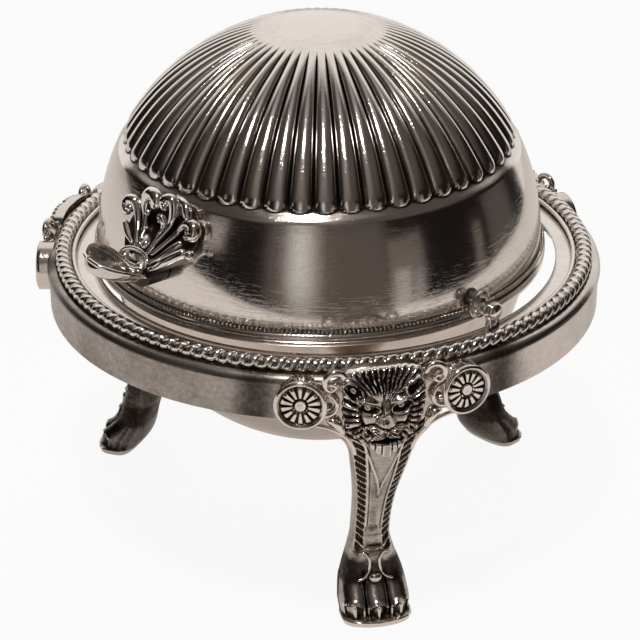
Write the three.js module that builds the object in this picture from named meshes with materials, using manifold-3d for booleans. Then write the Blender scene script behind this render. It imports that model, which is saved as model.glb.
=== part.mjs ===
// Revolving-dome caviar dish in silver plate. A ring frame on three cast lion-mask legs
// carries a fixed bowl and a fluted dome that rolls back beneath it on two side pivots.
// Millimetres, +Z up. The handle faces -Y and the pivots lie along X.
import * as THREE from 'three';
import Module from 'manifold-3d';
import { mergeVertices } from 'three/addons/utils/BufferGeometryUtils.js';

const wasm = await Module();
wasm.setup();

// Driving dimensions.
const SEAT_GAP = 0.3; // air left between pieces that seat on each other
const RING_SEGMENTS = 48;

const BAND_R = 101.5;
const BAND_WALL = 1.2;
const BAND_BASE_Z = 89;
const BAND_FACE_H = 12.3;
const SHOULDER_H = 4.1;
const SHOULDER_SWELL = 0.6;
const LEDGE_WALL = 1.2;
const LEDGE_W = 11; // from the face of the band inwards

const ROPE_WIRE_R = 2.8;
const ROPE_INSET = 2.5; // from the face of the band to the outside of the rope
const FLANGE_W = 8.1;
const FLANGE_OPENING_SETBACK = 1; // the opening lies a little towards the back
const FLANGE_T = 1.2;
const FLANGE_WIRE_R = 0.8;

const PIVOT_RISE = 8.1; // pivot axis above the top of the flange
const DOME_FORWARD = 2; // the dome and bowl sit a little towards the handle
const DOME_GAP = 3.7; // between the dome and the flange
const DOME_WALL = 1.2;
const DOME_SKIRT = 5.1; // how far the dome reaches below its pivot axis
const FLUTE_COUNT = 50;
const FLUTE_DEPTH = 2.2;
const FLUTE_WALL = 0.7;
const FLUTE_START_LAT = 28.4;
const FLUTE_END_LAT = 76;
const RIM_T = 1.4;
const RIM_H = 4;
const RIM_LIP = 1.4;
const BEAD_R = 0.8;

const BOWL_INSET = 4.1; // from the outside of the dome to the outside of the bowl
const BOWL_FLATNESS = 2.2; // how much shallower the bowl is than half its width
const BOWL_WALL = 1.2;
const BOWL_WALL_RISE = 2.7; // of the bowl's edge above the pivot axis
const BOWL_RIM_RISE = 5.2; // of the moulded rim that is soldered on that edge
const BOWL_LIP = 2.2;

const PIN_R = 1.2;
const PIN_CLEARANCE = 0.3;
const COLLAR_R = 4;
const COLLAR_T = 1.8;
const NUT_R = 3.1;
const NUT_T = 2;
const LUG_W = 8;
const LUG_T = 4;
const LUG_HEAD_R = 4;

// Each leg has its bearing from the handle, and its foot is bent sideways and outwards a little.
const LEGS = [
  { side: 'right', bearing: 60, set: 1, splay: 0 },
  { side: 'left', bearing: -60, set: -15, splay: 3.5 },
  { side: 'back', bearing: 182, set: -12, splay: -4 },
];
const TOE_INSET = 6; // from the face of the band, as are the heel, the ankle and the knee
const HEEL_INSET = 26.5;
const PAW_W = 25.8;
const PAW_H = 15;
const ANKLE_Z = 31;
const ANKLE_INSET = 24.5;
const ANKLE_W = 13.6;
const ANKLE_T = 11.6;
const KNEE_Z = 67;
const KNEE_INSET = 7.5;
const KNEE_W = 19.6;
const KNEE_T = 11;
const WING_W = 40;
const WING_T = 2.6;
const MASK_W = 29;
const MASK_H = 33;
const MASK_Z = 92.5;
const MASK_RELIEF = 5.6;
const ROSETTE_R = 9.1;
const ROSETTE_PROUD = 5.1; // out of the face of the band
const ROSETTE_Z = 96.7;
const ROSETTE_SPREAD = 29.4; // from the middle of the mask, along the band
const ROSETTE_PETALS = 12;

const HANDLE_BASE_LAT = 8;
const HANDLE_BEARING = 4; // the casting is soldered a little off the middle
const LOBE_ANGLES = [-63, -42, -11, 11, 42, 63];
const LOBE_REACH = 20;
const LOBE_RISE = 6; // how much longer the middle lobes are than the outer ones
const LOBE_TUBE_R = 1.9;
const LOBE_CURL_R = 3;
const LOBE_STAND = 4.2; // tube centre above the dome
const THUMB_REACH = 29;
const THUMB_LIFT = 12;
const THUMB_W = 16;
const THUMB_T = 1.8;

const DRAINER_DROP = 40; // below the pivot axis
const DRAINER_T = 1.2;
const DRAINER_RIM = 4;
const DRAINER_HOLE_R = 2.6;
const DISH_INSET = 6.3; // from the rim of the drainer
const DISH_H = 26;
const DISH_FOOT_R = 26;
const DISH_WALL = 2.4;

// Sizes that follow.
const rad = THREE.MathUtils.degToRad;
const bandTopZ = BAND_BASE_Z + BAND_FACE_H;
const ledgeZ = bandTopZ + SHOULDER_H - 1.1;
const ledgeR = BAND_R - LEDGE_W;
const ropeR = BAND_R - ROPE_INSET - ROPE_WIRE_R;
const ropeZ = ledgeZ + SEAT_GAP + ROPE_WIRE_R;
const flangeEdgeR = ropeR - ROPE_WIRE_R - SEAT_GAP;
const flangeZ = ledgeZ + SEAT_GAP + FLANGE_T + 0.1;
const flangeWireR = flangeEdgeR - FLANGE_WIRE_R;
const flangeOpeningR = flangeEdgeR - FLANGE_W;
const pivotZ = flangeZ + PIVOT_RISE;
const domeR = flangeOpeningR - DOME_GAP;
const domeInnerR = domeR - DOME_WALL;
const fluteInnerR = domeR - FLUTE_DEPTH - FLUTE_WALL;
const rimInnerR = domeR + SEAT_GAP;
const rimOuterR = rimInnerR + RIM_T;
const beadRingR = domeR + SEAT_GAP + BEAD_R;
const bowlR = domeR - BOWL_INSET;
const bowlDepth = bowlR - BOWL_FLATNESS;
const toeR = BAND_R - TOE_INSET;
const heelR = BAND_R - HEEL_INSET;
const ankleR = BAND_R - ANKLE_INSET;
const kneeR = BAND_R - KNEE_INSET;
const rosetteReach = BAND_R + ROSETTE_PROUD;
const rosetteBearing = THREE.MathUtils.radToDeg(ROSETTE_SPREAD / rosetteReach);

/** A point at a radius and height, on a bearing in radians from the handle side towards +X. */
const polar = (radius, bearing, z) =>
  new THREE.Vector3(radius * Math.sin(bearing), -radius * Math.cos(bearing), z);

/** A point on a sphere about the dome's centre, at a latitude and bearing in degrees. */
const onDome = (radius, lat, bearing) =>
  polar(radius * Math.cos(rad(lat)), rad(bearing), radius * Math.sin(rad(lat)));

const smooth = (from, to, x) => THREE.MathUtils.smoothstep(x, from, to);
const bump = (x, width) => Math.exp(-((x / width) ** 2));

/** Keeps only the positions, merges shared vertices, drops collapsed faces, faces it outward. */
function outward(geometry) {
  const bare = geometry.clone();
  for (const name of Object.keys(bare.attributes)) {
    if (name !== 'position') bare.deleteAttribute(name);
  }
  const merged = mergeVertices(bare, 1e-4);
  const source = merged.index.array;
  const position = merged.attributes.position;
  const [a, b, c] = [new THREE.Vector3(), new THREE.Vector3(), new THREE.Vector3()];
  const faces = [];
  let volume = 0;
  for (let i = 0; i < source.length; i += 3) {
    const [p, q, r] = [source[i], source[i + 1], source[i + 2]];
    if (p === q || q === r || r === p) continue;
    a.fromBufferAttribute(position, p);
    b.fromBufferAttribute(position, q);
    c.fromBufferAttribute(position, r);
    volume += a.dot(b.cross(c));
    faces.push(p, q, r);
  }
  if (volume < 0) {
    for (let i = 0; i < faces.length; i += 3) [faces[i], faces[i + 1]] = [faces[i + 1], faces[i]];
  }
  const clean = new THREE.BufferGeometry();
  clean.setAttribute('position', position);
  clean.setIndex(faces);
  return clean;
}

/** The geometry as a solid that can be joined and cut. */
function solid(geometry) {
  const clean = outward(geometry);
  return new wasm.Manifold(new wasm.Mesh({
    numProp: 3,
    vertProperties: new Float32Array(clean.attributes.position.array),
    triVerts: new Uint32Array(clean.index.array),
  }));
}

/** A joined or cut solid as a geometry again. */
function surface(body) {
  const mesh = body.getMesh();
  const geometry = new THREE.BufferGeometry();
  geometry.setAttribute('position', new THREE.BufferAttribute(mesh.vertProperties, 3));
  geometry.setIndex(new THREE.BufferAttribute(mesh.triVerts, 1));
  return geometry;
}

const join = (geometries) => geometries.map(solid).reduce((whole, piece) => whole.add(piece));
const cut = (body, geometries) => geometries.map(solid).reduce((rest, tool) => rest.subtract(tool), body);

/** A skin built ring by ring from the bottom up, with rings that may change their count. */
class Skin {
  constructor() {
    this.points = [];
    this.faces = [];
  }

  ring(count, place) {
    const start = this.points.length;
    for (let i = 0; i < count; i += 1) this.points.push(place(i / count, i));
    return { start, count };
  }

  bridge(lower, upper) {
    const coarse = Math.min(lower.count, upper.count);
    const step = Math.max(lower.count, upper.count) / coarse;
    const low = (i) => lower.start + (i % lower.count);
    const high = (i) => upper.start + (i % upper.count);
    for (let i = 0; i < coarse; i += 1) {
      const half = Math.ceil(step / 2);
      if (step === 1) {
        this.faces.push(low(i), low(i + 1), high(i + 1), low(i), high(i + 1), high(i));
      } else if (upper.count > lower.count) {
        for (let j = 0; j < step; j += 1) {
          this.faces.push(low(j < half ? i : i + 1), high(i * step + j + 1), high(i * step + j));
        }
        this.faces.push(low(i), low(i + 1), high(i * step + half));
      } else {
        for (let j = 0; j < step; j += 1) {
          this.faces.push(low(i * step + j), low(i * step + j + 1), high(j < half ? i : i + 1));
        }
        this.faces.push(low(i * step + half), high(i + 1), high(i));
      }
    }
    return upper;
  }

  close(ring, apex, upward) {
    const tip = this.points.push(apex) - 1;
    for (let i = 0; i < ring.count; i += 1) {
      const [p, q] = [ring.start + i, ring.start + ((i + 1) % ring.count)];
      this.faces.push(...(upward ? [p, q, tip] : [q, p, tip]));
    }
  }

  geometry() {
    const geometry = new THREE.BufferGeometry();
    geometry.setAttribute('position', new THREE.Float32BufferAttribute(this.points.flatMap((p) => p.toArray()), 3));
    geometry.setIndex(this.faces);
    return geometry;
  }
}

/** A turned piece from its profile of [radius, height] points. */
const turn = (profile, segments = RING_SEGMENTS) =>
  new THREE.LatheGeometry(profile.map(([r, z]) => new THREE.Vector2(r, z)), segments).rotateX(Math.PI / 2);

const closedTurn = (profile, segments) => turn([...profile, profile[0]], segments);

/** A turned piece whose axis lies along X. */
const turnAlongX = (profile, segments) => closedTurn(profile, segments).rotateY(Math.PI / 2);

/** Points of a round section. */
const circle = (radius, count, cx = 0, cy = 0) => Array.from({ length: count }, (_, i) => {
  const angle = (2 * Math.PI * i) / count;
  return [cx + radius * Math.cos(angle), cy + radius * Math.sin(angle)];
});

class LevelArc extends THREE.Curve {
  constructor(radius, z, from, to, forward = 0) {
    super();
    Object.assign(this, { radius, z, from, to, forward });
  }

  getPoint(t, target = new THREE.Vector3()) {
    const bearing = THREE.MathUtils.lerp(this.from, this.to, t);
    return target.copy(polar(this.radius, bearing, this.z)).add(new THREE.Vector3(0, -this.forward, 0));
  }
}

/** A tube along a curve. */
const tube = (curve, radius, steps, sides) => new THREE.ExtrudeGeometry(
  new THREE.Shape(circle(radius, sides).map(([x, y]) => new THREE.Vector2(x, y))),
  { extrudePath: curve, steps, curveSegments: sides, bevelEnabled: false },
);

// Materials.
const silver = (color, roughness) => new THREE.MeshStandardMaterial({ color, roughness, metalness: 1 });
const ringSilver = silver(0xb9b0a8, 0.22);
const domeSilver = silver(0xbcb5ae, 0.14);
const castSilver = silver(0x8f8780, 0.3);
const bowlSilver = silver(0xa79e96, 0.25);
const pivotSilver = silver(0xc4bfba, 0.16);
const glass = new THREE.MeshStandardMaterial({
  color: 0xe8f0f0, roughness: 0.05, metalness: 0, transparent: true, opacity: 0.35,
});

const dish = new THREE.Group();
dish.name = 'caviar_dish';

function place(parent, name, geometry, material) {
  const mesh = new THREE.Mesh(outward(geometry), material);
  mesh.name = name;
  parent.add(mesh);
  return mesh;
}

// The ring frame: band, shoulder and the ledge that carries the rope and the flange.
const frame = new THREE.Group();
dish.add(frame);
const swellR = BAND_R + SHOULDER_SWELL;
const shoulderTop = bandTopZ + SHOULDER_H;
place(frame, 'ring_band', closedTurn([
  [BAND_R - BAND_WALL, BAND_BASE_Z],
  [BAND_R, BAND_BASE_Z],
  [BAND_R, bandTopZ],
  [swellR, bandTopZ + 0.3],
  [swellR, bandTopZ + SHOULDER_H * 0.45],
  [BAND_R - 0.9, shoulderTop - 0.4],
  [BAND_R - 2.4, shoulderTop],
  [BAND_R - 3, ledgeZ],
  [ledgeR, ledgeZ],
  [ledgeR, ledgeZ - LEDGE_WALL],
  [BAND_R - BAND_WALL, ledgeZ - LEDGE_WALL - 0.6],
]), ringSilver);

place(frame, 'rope_border', closedTurn(circle(ROPE_WIRE_R, 8, ropeR, ropeZ)), ringSilver);

// The flange is a flat plate with a turned-down foot that stands on the ledge.
const flangeOuter = solid(turn([
  [0, flangeZ - FLANGE_T],
  [flangeEdgeR - FLANGE_T, flangeZ - FLANGE_T],
  [flangeEdgeR - FLANGE_T, ledgeZ + SEAT_GAP],
  [flangeEdgeR, ledgeZ + SEAT_GAP],
  [flangeEdgeR, flangeZ],
  [0, flangeZ],
]));
const openingTool = turn([
  [0, flangeZ - 3 * FLANGE_T],
  [flangeOpeningR, flangeZ - 3 * FLANGE_T],
  [flangeOpeningR, flangeZ + FLANGE_T],
  [0, flangeZ + FLANGE_T],
]).translate(0, FLANGE_OPENING_SETBACK, 0);
place(frame, 'ring_flange', surface(cut(flangeOuter, [openingTool])), ringSilver);

// A bright wire runs round the flange in two halves that end at the pivot lugs.
const flangeWireZ = flangeZ + SEAT_GAP + FLANGE_WIRE_R;
const lugBearing = Math.acos(DOME_FORWARD / flangeWireR);
const lugHalf = (LUG_W / 2 + SEAT_GAP + FLANGE_WIRE_R) / flangeWireR;
for (const [name, from, to] of [
  ['flange_wire_front', -lugBearing + lugHalf, lugBearing - lugHalf],
  ['flange_wire_back', lugBearing + lugHalf, 2 * Math.PI - lugBearing - lugHalf],
]) {
  place(frame, name, tube(new LevelArc(flangeWireR, flangeWireZ, from, to), FLANGE_WIRE_R, 26, 4), ringSilver);
}

// The pivot axis passes through the centre of the dome's sphere.
const pivots = new THREE.Group();
pivots.position.set(0, -DOME_FORWARD, pivotZ);
dish.add(pivots);
const collarX = rimOuterR + SEAT_GAP + 0.2;
const lugX = flangeEdgeR - LUG_T;
const pinStart = bowlR - BOWL_WALL - NUT_T - 1.4;
const pinEnd = lugX + LUG_T - 0.3;
const nutX = bowlR - BOWL_WALL - NUT_T - SEAT_GAP - 0.15;
for (const [side, sign] of [['right', 1], ['left', -1]]) {
  const mirrored = (geometry) => (sign > 0 ? geometry : geometry.rotateZ(Math.PI));
  const outline = new THREE.Shape();
  const foot = flangeZ + SEAT_GAP - pivotZ;
  outline.moveTo(-LUG_W / 2, foot);
  outline.lineTo(LUG_W / 2, foot);
  outline.lineTo(LUG_HEAD_R, 0);
  outline.absarc(0, 0, LUG_HEAD_R, 0, Math.PI, false);
  outline.closePath();
  const bore = new THREE.Path();
  bore.absarc(0, 0, PIN_R + PIN_CLEARANCE, 0, 2 * Math.PI, true);
  outline.holes.push(bore);
  const lug = new THREE.ExtrudeGeometry(outline, { depth: LUG_T, bevelEnabled: false, curveSegments: 8 });
  lug.rotateX(Math.PI / 2).rotateZ(Math.PI / 2).translate(lugX, 0, 0);
  place(pivots, `pivot_lug_${side}`, mirrored(lug), pivotSilver);

  const pin = turnAlongX([[0, pinStart], [PIN_R, pinStart], [PIN_R, pinEnd], [0, pinEnd]], 24);
  place(pivots, `pivot_pin_${side}`, mirrored(pin), pivotSilver);

  const bored = PIN_R + PIN_CLEARANCE;
  const collar = turnAlongX([
    [bored, collarX], [COLLAR_R - 0.5, collarX], [COLLAR_R, collarX + 0.5],
    [COLLAR_R, collarX + COLLAR_T - 0.5], [COLLAR_R - 0.6, collarX + COLLAR_T], [bored, collarX + COLLAR_T],
  ], 16);
  place(pivots, `pivot_collar_${side}`, mirrored(collar), pivotSilver);

  const nut = turnAlongX([[bored, nutX], [NUT_R, nutX], [NUT_R, nutX + NUT_T], [bored, nutX + NUT_T]], 6);
  place(pivots, `pivot_nut_${side}`, mirrored(nut), pivotSilver);
}

/** A bore along X for the pivot pins, on both sides of the centre. */
const pinBore = (reach) => turnAlongX([
  [0, -reach], [PIN_R + PIN_CLEARANCE, -reach], [PIN_R + PIN_CLEARANCE, reach], [0, reach],
], 12);

// The fixed bowl: an ellipsoid shell that the pins clamp, with a moulded rim on its edge.
const bowlGroup = new THREE.Group();
bowlGroup.position.copy(pivots.position);
dish.add(bowlGroup);
const bowlInnerR = bowlR - BOWL_WALL;
const bowlInnerDepth = bowlDepth - BOWL_WALL;
const ellipse = (a, b, steps) => Array.from({ length: steps + 1 }, (_, i) => {
  const angle = (Math.PI / 2) * (1 - i / steps);
  return [a * Math.cos(angle), -b * Math.sin(angle)];
});
const bowlProfile = [
  ...ellipse(bowlR, bowlDepth, 6),
  [bowlR, BOWL_WALL_RISE],
  [bowlInnerR, BOWL_WALL_RISE],
  ...ellipse(bowlInnerR, bowlInnerDepth, 6).reverse(),
];
bowlProfile[0][0] = 0;
bowlProfile[bowlProfile.length - 1][0] = 0;
place(bowlGroup, 'bowl', surface(cut(solid(turn(bowlProfile, 36)), [pinBore(bowlR + 5)])), bowlSilver);

place(bowlGroup, 'bowl_rim', closedTurn([
  [bowlR - 0.2, BOWL_WALL_RISE + SEAT_GAP],
  [bowlR - 0.2, BOWL_RIM_RISE - 1.2],
  [bowlR - 0.9, BOWL_RIM_RISE],
  [bowlInnerR - BOWL_LIP + 0.6, BOWL_RIM_RISE],
  [bowlInnerR - BOWL_LIP, BOWL_RIM_RISE - 1],
  [bowlInnerR, BOWL_WALL_RISE + SEAT_GAP],
], 36), bowlSilver);

// The fluted dome shell.
const domeGroup = new THREE.Group();
domeGroup.position.copy(pivots.position);
dish.add(domeGroup);
const fluteStep = 360 / FLUTE_COUNT;

/** Outer radius of the dome: a sphere dished below the reeds, with reeds that fill it out again. */
function domeRadius(lat, bearing) {
  const dip = FLUTE_DEPTH * smooth(FLUTE_START_LAT - 4.5, FLUTE_START_LAT - 0.6, lat)
    * (1 - smooth(FLUTE_END_LAT - 4, FLUTE_END_LAT + 1.5, lat));
  const across = 2 * Math.abs(bearing / fluteStep - Math.round(bearing / fluteStep));
  const halfWidth = domeR * Math.cos(rad(lat)) * rad(fluteStep / 2);
  const fromEnd = domeR * rad(lat - FLUTE_START_LAT);
  const roundEnd = fromEnd < 0 ? 1 : Math.max(0, 1 - fromEnd / halfWidth);
  return domeR - dip * (1 - Math.sqrt(Math.max(0, 1 - across ** 2 - roundEnd ** 2)));
}

const shell = new Skin();
const skirtLat = THREE.MathUtils.radToDeg(Math.asin(-DOME_SKIRT / domeR));
const domeRing = (count, lat) => shell.ring(count, (t) => onDome(domeRadius(lat, 360 * t), lat, 360 * t));
const innerRing = (radius, lat) => shell.ring(FLUTE_COUNT, (t) => onDome(radius, lat, 360 * t));
const reedRows = [1.3, 14, 31].map((up) => FLUTE_START_LAT + up);
let row = domeRing(FLUTE_COUNT, skirtLat);
const edgeRing = row;
for (const lat of [8, FLUTE_START_LAT - 5]) row = shell.bridge(row, domeRing(FLUTE_COUNT, lat));
for (const lat of [FLUTE_START_LAT - 0.3, ...reedRows, FLUTE_END_LAT - 2.5]) {
  row = shell.bridge(row, domeRing(FLUTE_COUNT * 4, lat));
}
for (const lat of [FLUTE_END_LAT + 2, 84]) row = shell.bridge(row, domeRing(FLUTE_COUNT, lat));
shell.close(row, new THREE.Vector3(0, 0, domeR), true);
const innerEdgeLat = THREE.MathUtils.radToDeg(Math.asin(-DOME_SKIRT / domeInnerR));
let inner = innerRing(domeInnerR, innerEdgeLat);
shell.bridge(inner, edgeRing);
for (const [radius, lat] of [
  [domeInnerR, 8], [domeInnerR, FLUTE_START_LAT - 9], [fluteInnerR, FLUTE_START_LAT - 3],
  [fluteInnerR, 41], [fluteInnerR, 57], [fluteInnerR, FLUTE_END_LAT - 4], [domeInnerR, FLUTE_END_LAT + 5],
]) {
  const next = innerRing(radius, lat);
  shell.bridge(next, inner);
  inner = next;
}
shell.close(inner, new THREE.Vector3(0, 0, domeInnerR), false);
place(domeGroup, 'dome_shell', surface(cut(solid(shell.geometry()), [pinBore(domeR + 5)])), domeSilver);

// A moulded band is drawn over the dome's edge and turned in beneath it.
const skirtZ = -DOME_SKIRT - SEAT_GAP;
const rimTop = skirtZ + RIM_H - 0.4;
place(domeGroup, 'dome_rim', closedTurn([
  [rimInnerR, skirtZ],
  [rimInnerR - RIM_LIP, skirtZ],
  [rimInnerR - RIM_LIP, skirtZ - 0.8],
  [rimOuterR - 0.6, skirtZ - 0.8],
  [rimOuterR, skirtZ + 0.4],
  [rimOuterR, rimTop - 1.1],
  [rimOuterR - 0.8, rimTop],
  [rimInnerR, rimTop],
]), domeSilver);

const beadHalf = (PIN_R + PIN_CLEARANCE + BEAD_R) / beadRingR;
const beadZ = rimTop + SEAT_GAP + BEAD_R;
for (const [name, from, to] of [
  ['dome_beading_front', -Math.PI / 2 + beadHalf, Math.PI / 2 - beadHalf],
  ['dome_beading_back', Math.PI / 2 + beadHalf, (3 * Math.PI) / 2 - beadHalf],
]) {
  place(domeGroup, name, tube(new LevelArc(beadRingR, beadZ, from, to), BEAD_R, 26, 4), domeSilver);
}

// The handle: five C-scroll lobes fanned over a leaf, with a spoon-shaped thumbpiece.
const mmPerDegree = domeR * rad(1);

/** A point of the leaf, measured across and up the dome from the foot of the handle. */
const onLeaf = (across, up, stand) => {
  const lat = HANDLE_BASE_LAT + up / mmPerDegree;
  const bearing = HANDLE_BEARING + across / (mmPerDegree * Math.cos(rad(lat)));
  return onDome(domeR + SEAT_GAP + stand, lat, bearing);
};

class LobeCurve extends THREE.Curve {
  constructor(angle) {
    super();
    this.angle = rad(angle);
    this.reach = LOBE_REACH + LOBE_RISE * Math.cos(this.angle) ** 2;
    this.hand = angle < 0 ? -1 : 1;
  }

  getPoint(t, target = new THREE.Vector3()) {
    const stem = 0.55;
    const curl = Math.max(0, (t - stem) / (1 - stem)) * Math.PI * 1.35;
    const along = Math.min(1, t / stem) * (this.reach - LOBE_CURL_R) + LOBE_CURL_R * Math.sin(curl);
    const aside = -LOBE_CURL_R * (1 - Math.cos(curl)) + 1.2 * Math.sin(Math.PI * Math.min(1, t / stem));
    const [s, c] = [Math.sin(this.angle), Math.cos(this.angle)];
    return target.copy(onLeaf(along * s + this.hand * aside * c, along * c - this.hand * aside * s, LOBE_STAND));
  }
}

const leaf = new Skin();
const leafEdge = (t, shrink, stand) => {
  const angle = 2 * Math.PI * t;
  const fan = LOBE_REACH - 1.5 + LOBE_RISE * Math.max(0, Math.cos(angle));
  const reach = Math.abs(angle - Math.PI) < Math.PI * 0.57 ? 4.5 : fan;
  return onLeaf(shrink * reach * Math.sin(angle), shrink * reach * Math.cos(angle), stand);
};
const leafInner = leaf.ring(20, (t) => leafEdge(t, 0.5, 0.1));
const leafBack = leaf.ring(20, (t) => leafEdge(t, 1, 0.1));
const leafFront = leaf.ring(20, (t) => leafEdge(t, 0.96, 1.8));
const leafMiddle = leaf.ring(20, (t) => leafEdge(t, 0.5, 3.2));
leaf.close(leafInner, onLeaf(0, 0, 0.1), false);
leaf.bridge(leafInner, leafBack);
leaf.bridge(leafBack, leafFront);
leaf.bridge(leafFront, leafMiddle);
leaf.close(leafMiddle, onLeaf(0, 0, 4), true);

const thumb = new Skin();
const thumbPath = new THREE.CatmullRomCurve3([
  [0, 0.02], [0.24, -0.14], [0.5, -0.1], [0.77, 0.25], [0.93, 0.62], [1, 0.92],
].map(([out, up]) => new THREE.Vector3(0, -out * THUMB_REACH, up * THUMB_LIFT)));
const thumbFoot = onDome(domeR + SEAT_GAP + 1.2, HANDLE_BASE_LAT + 1, 0);
const thumbRings = [0, 0.17, 0.34, 0.52, 0.68, 0.82, 0.93, 1].map((t) => {
  const centre = thumbPath.getPoint(t).add(thumbFoot);
  const along = thumbPath.getTangent(t);
  const up = new THREE.Vector3(0, along.z, -along.y).normalize();
  const wide = (THUMB_W / 2) * (0.5 + 0.5 * smooth(0.25, 0.65, t)) * Math.sqrt(Math.max(0.06, 1 - smooth(0.72, 1.05, t)));
  return thumb.ring(10, (s) => {
    const angle = 2 * Math.PI * s;
    const side = Math.cos(angle);
    const cupped = 1.6 * side * side * smooth(0.4, 0.7, t);
    return centre.clone()
      .add(new THREE.Vector3(wide * side, 0, 0))
      .addScaledVector(up, (THUMB_T / 2) * Math.sin(angle) + cupped);
  });
});
thumbRings.slice(1).reduce((lower, upper) => thumb.bridge(lower, upper), thumbRings[0]);
const ringCentre = (skin, ring) => skin.points.slice(ring.start, ring.start + ring.count)
  .reduce((sum, p) => sum.add(p), new THREE.Vector3()).divideScalar(ring.count);
thumb.close(thumbRings[0], ringCentre(thumb, thumbRings[0]), false);
thumb.close(thumbRings.at(-1), ringCentre(thumb, thumbRings.at(-1)), true);

const lobes = LOBE_ANGLES.flatMap((angle) => {
  const curve = new LobeCurve(angle);
  const end = curve.getPoint(1);
  const ball = new THREE.SphereGeometry(LOBE_TUBE_R * 1.35, 6, 5).translate(end.x, end.y, end.z);
  return [tube(curve, LOBE_TUBE_R, 9, 5), ball];
});
const thumbpiece = thumb.geometry().rotateZ(rad(HANDLE_BEARING));
place(domeGroup, 'handle', surface(join([leaf.geometry(), thumbpiece, ...lobes])), castSilver);

// The legs: paw, shin and wings in one casting, with a lion mask between two rosettes.
const stations = [
  { z: 0, front: toeR - 1.5, back: heelR + 6, width: PAW_W - 3 },
  { z: 2, front: toeR, back: heelR + 4, width: PAW_W },
  { z: PAW_H * 0.45, front: toeR - 1.5, back: heelR, width: PAW_W },
  { z: PAW_H, front: toeR - 9, back: heelR - 2, width: PAW_W - 3 },
  { z: (PAW_H + ANKLE_Z) / 2, front: ankleR + ANKLE_T * 0.66, back: ankleR - ANKLE_T * 0.56, width: ANKLE_W + 3.6 },
  { z: ANKLE_Z, front: ankleR + ANKLE_T / 2, back: ankleR - ANKLE_T / 2, width: ANKLE_W },
  { z: (ANKLE_Z + KNEE_Z) / 2, front: kneeR - 4, back: kneeR - 15.4, width: ANKLE_W + 1 },
  { z: KNEE_Z, front: kneeR + KNEE_T / 2, back: kneeR - KNEE_T / 2, width: KNEE_W },
  { z: BAND_BASE_Z - 10, front: BAND_R + WING_T * 0.6, back: BAND_R - 5, width: KNEE_W + 6 },
  { z: BAND_BASE_Z - 1, front: BAND_R + WING_T, back: BAND_R - 1.5, width: WING_W },
  { z: BAND_BASE_Z + 8, front: BAND_R + WING_T, back: BAND_R - 1.5, width: WING_W + 2 },
  { z: bandTopZ + 1.5, front: BAND_R + WING_T * 0.9, back: BAND_R - 1.5, width: WING_W - 2 },
  { z: shoulderTop + 1, front: BAND_R + WING_T * 0.4, back: BAND_R - 1.5, width: WING_W - 12 },
];

/** How much of the bend towards the foot has been reached at a height. */
const footShare = (z) => 1 - smooth(PAW_H, KNEE_Z + 8, z);

/** A point of the leg's section, with toes on the paw and a sunk panel down the shin. */
function legPoint({ z, front, back, width }, t, { set, splay }) {
  const split = 0.6;
  const onFront = t < split;
  const angle = onFront ? (Math.PI * t) / split : Math.PI * (1 + (t - split) / (1 - split));
  const u = Math.cos(angle);
  const lean = Math.abs(Math.sin(angle));
  const middle = THREE.MathUtils.lerp(back, front, 0.45);
  const toes = 2.6 * (1 - Math.abs(Math.cos(1.5 * Math.PI * u))) * (1 - smooth(PAW_H, PAW_H + 8, z));
  const panel = 1.1 * (1 - smooth(0.35, 0.7, Math.abs(u)))
    * smooth(ANKLE_Z - 6, ANKLE_Z + 4, z) * (1 - smooth(KNEE_Z + 6, KNEE_Z + 14, z));
  const reach = onFront
    ? middle + (front - middle) * lean ** 0.5 - toes - panel
    : middle - (middle - back) * lean ** 0.7;
  const side = (width / 2) * u;
  const bent = footShare(z);
  return new THREE.Vector3(side + set * bent, -(reach + splay * bent - side ** 2 / (2 * BAND_R)), z);
}

/** How far the lion's nose has risen at a height up the face. */
const noseRun = (z) => smooth(-0.42, -0.2, z) * (1 - smooth(-0.1, 0.45, z));

/** Relief of the lion mask at a place across and up its face, both from -1 to 1. */
function maskRelief(x, z, edge) {
  const side = Math.abs(x);
  const around = Math.atan2(x, z);
  return MASK_RELIEF * Math.sqrt(Math.max(0, 1 - edge ** 2)) ** 0.8
    + 1.7 * bump(side - 0.36, 0.2) * bump(z - 0.24, 0.13)
    - 2.1 * bump(side - 0.38, 0.14) * bump(z - 0.06, 0.1)
    + 2.4 * bump(x, 0.16) * noseRun(z)
    + 2.6 * bump(side - 0.2, 0.17) * bump(z + 0.38, 0.15)
    - 1.8 * bump(x, 0.3) * bump(z + 0.58, 0.07)
    + 1.4 * bump(x, 0.2) * bump(z + 0.74, 0.12)
    + 2.6 * bump(side - 0.74, 0.13) * bump(z - 0.6, 0.14)
    - 1.3 * (0.5 - 0.5 * Math.cos(14 * around)) * smooth(0.6, 0.95, edge);
}

function lionMask() {
  const mask = new Skin();
  const place = (edge, t, stand) => {
    const angle = 2 * Math.PI * t;
    const [x, z] = [edge * Math.sin(angle), edge * Math.cos(angle)];
    const side = (MASK_W / 2) * x * (1 + 0.1 * z);
    const reach = BAND_R + (stand ?? 1.4 + maskRelief(x, z, edge));
    return new THREE.Vector3(side, -(reach - side ** 2 / (2 * BAND_R)), MASK_Z + (MASK_H / 2) * z);
  };
  let ring = mask.ring(24, (t) => place(1, t, -1.2));
  mask.close(ring, place(0, 0, -1.2), false);
  for (const edge of [1, 0.84, 0.64, 0.43, 0.2]) {
    ring = mask.bridge(ring, mask.ring(24, (t) => place(edge, t)));
  }
  mask.close(ring, place(0, 0), true);
  return mask.geometry();
}

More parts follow.
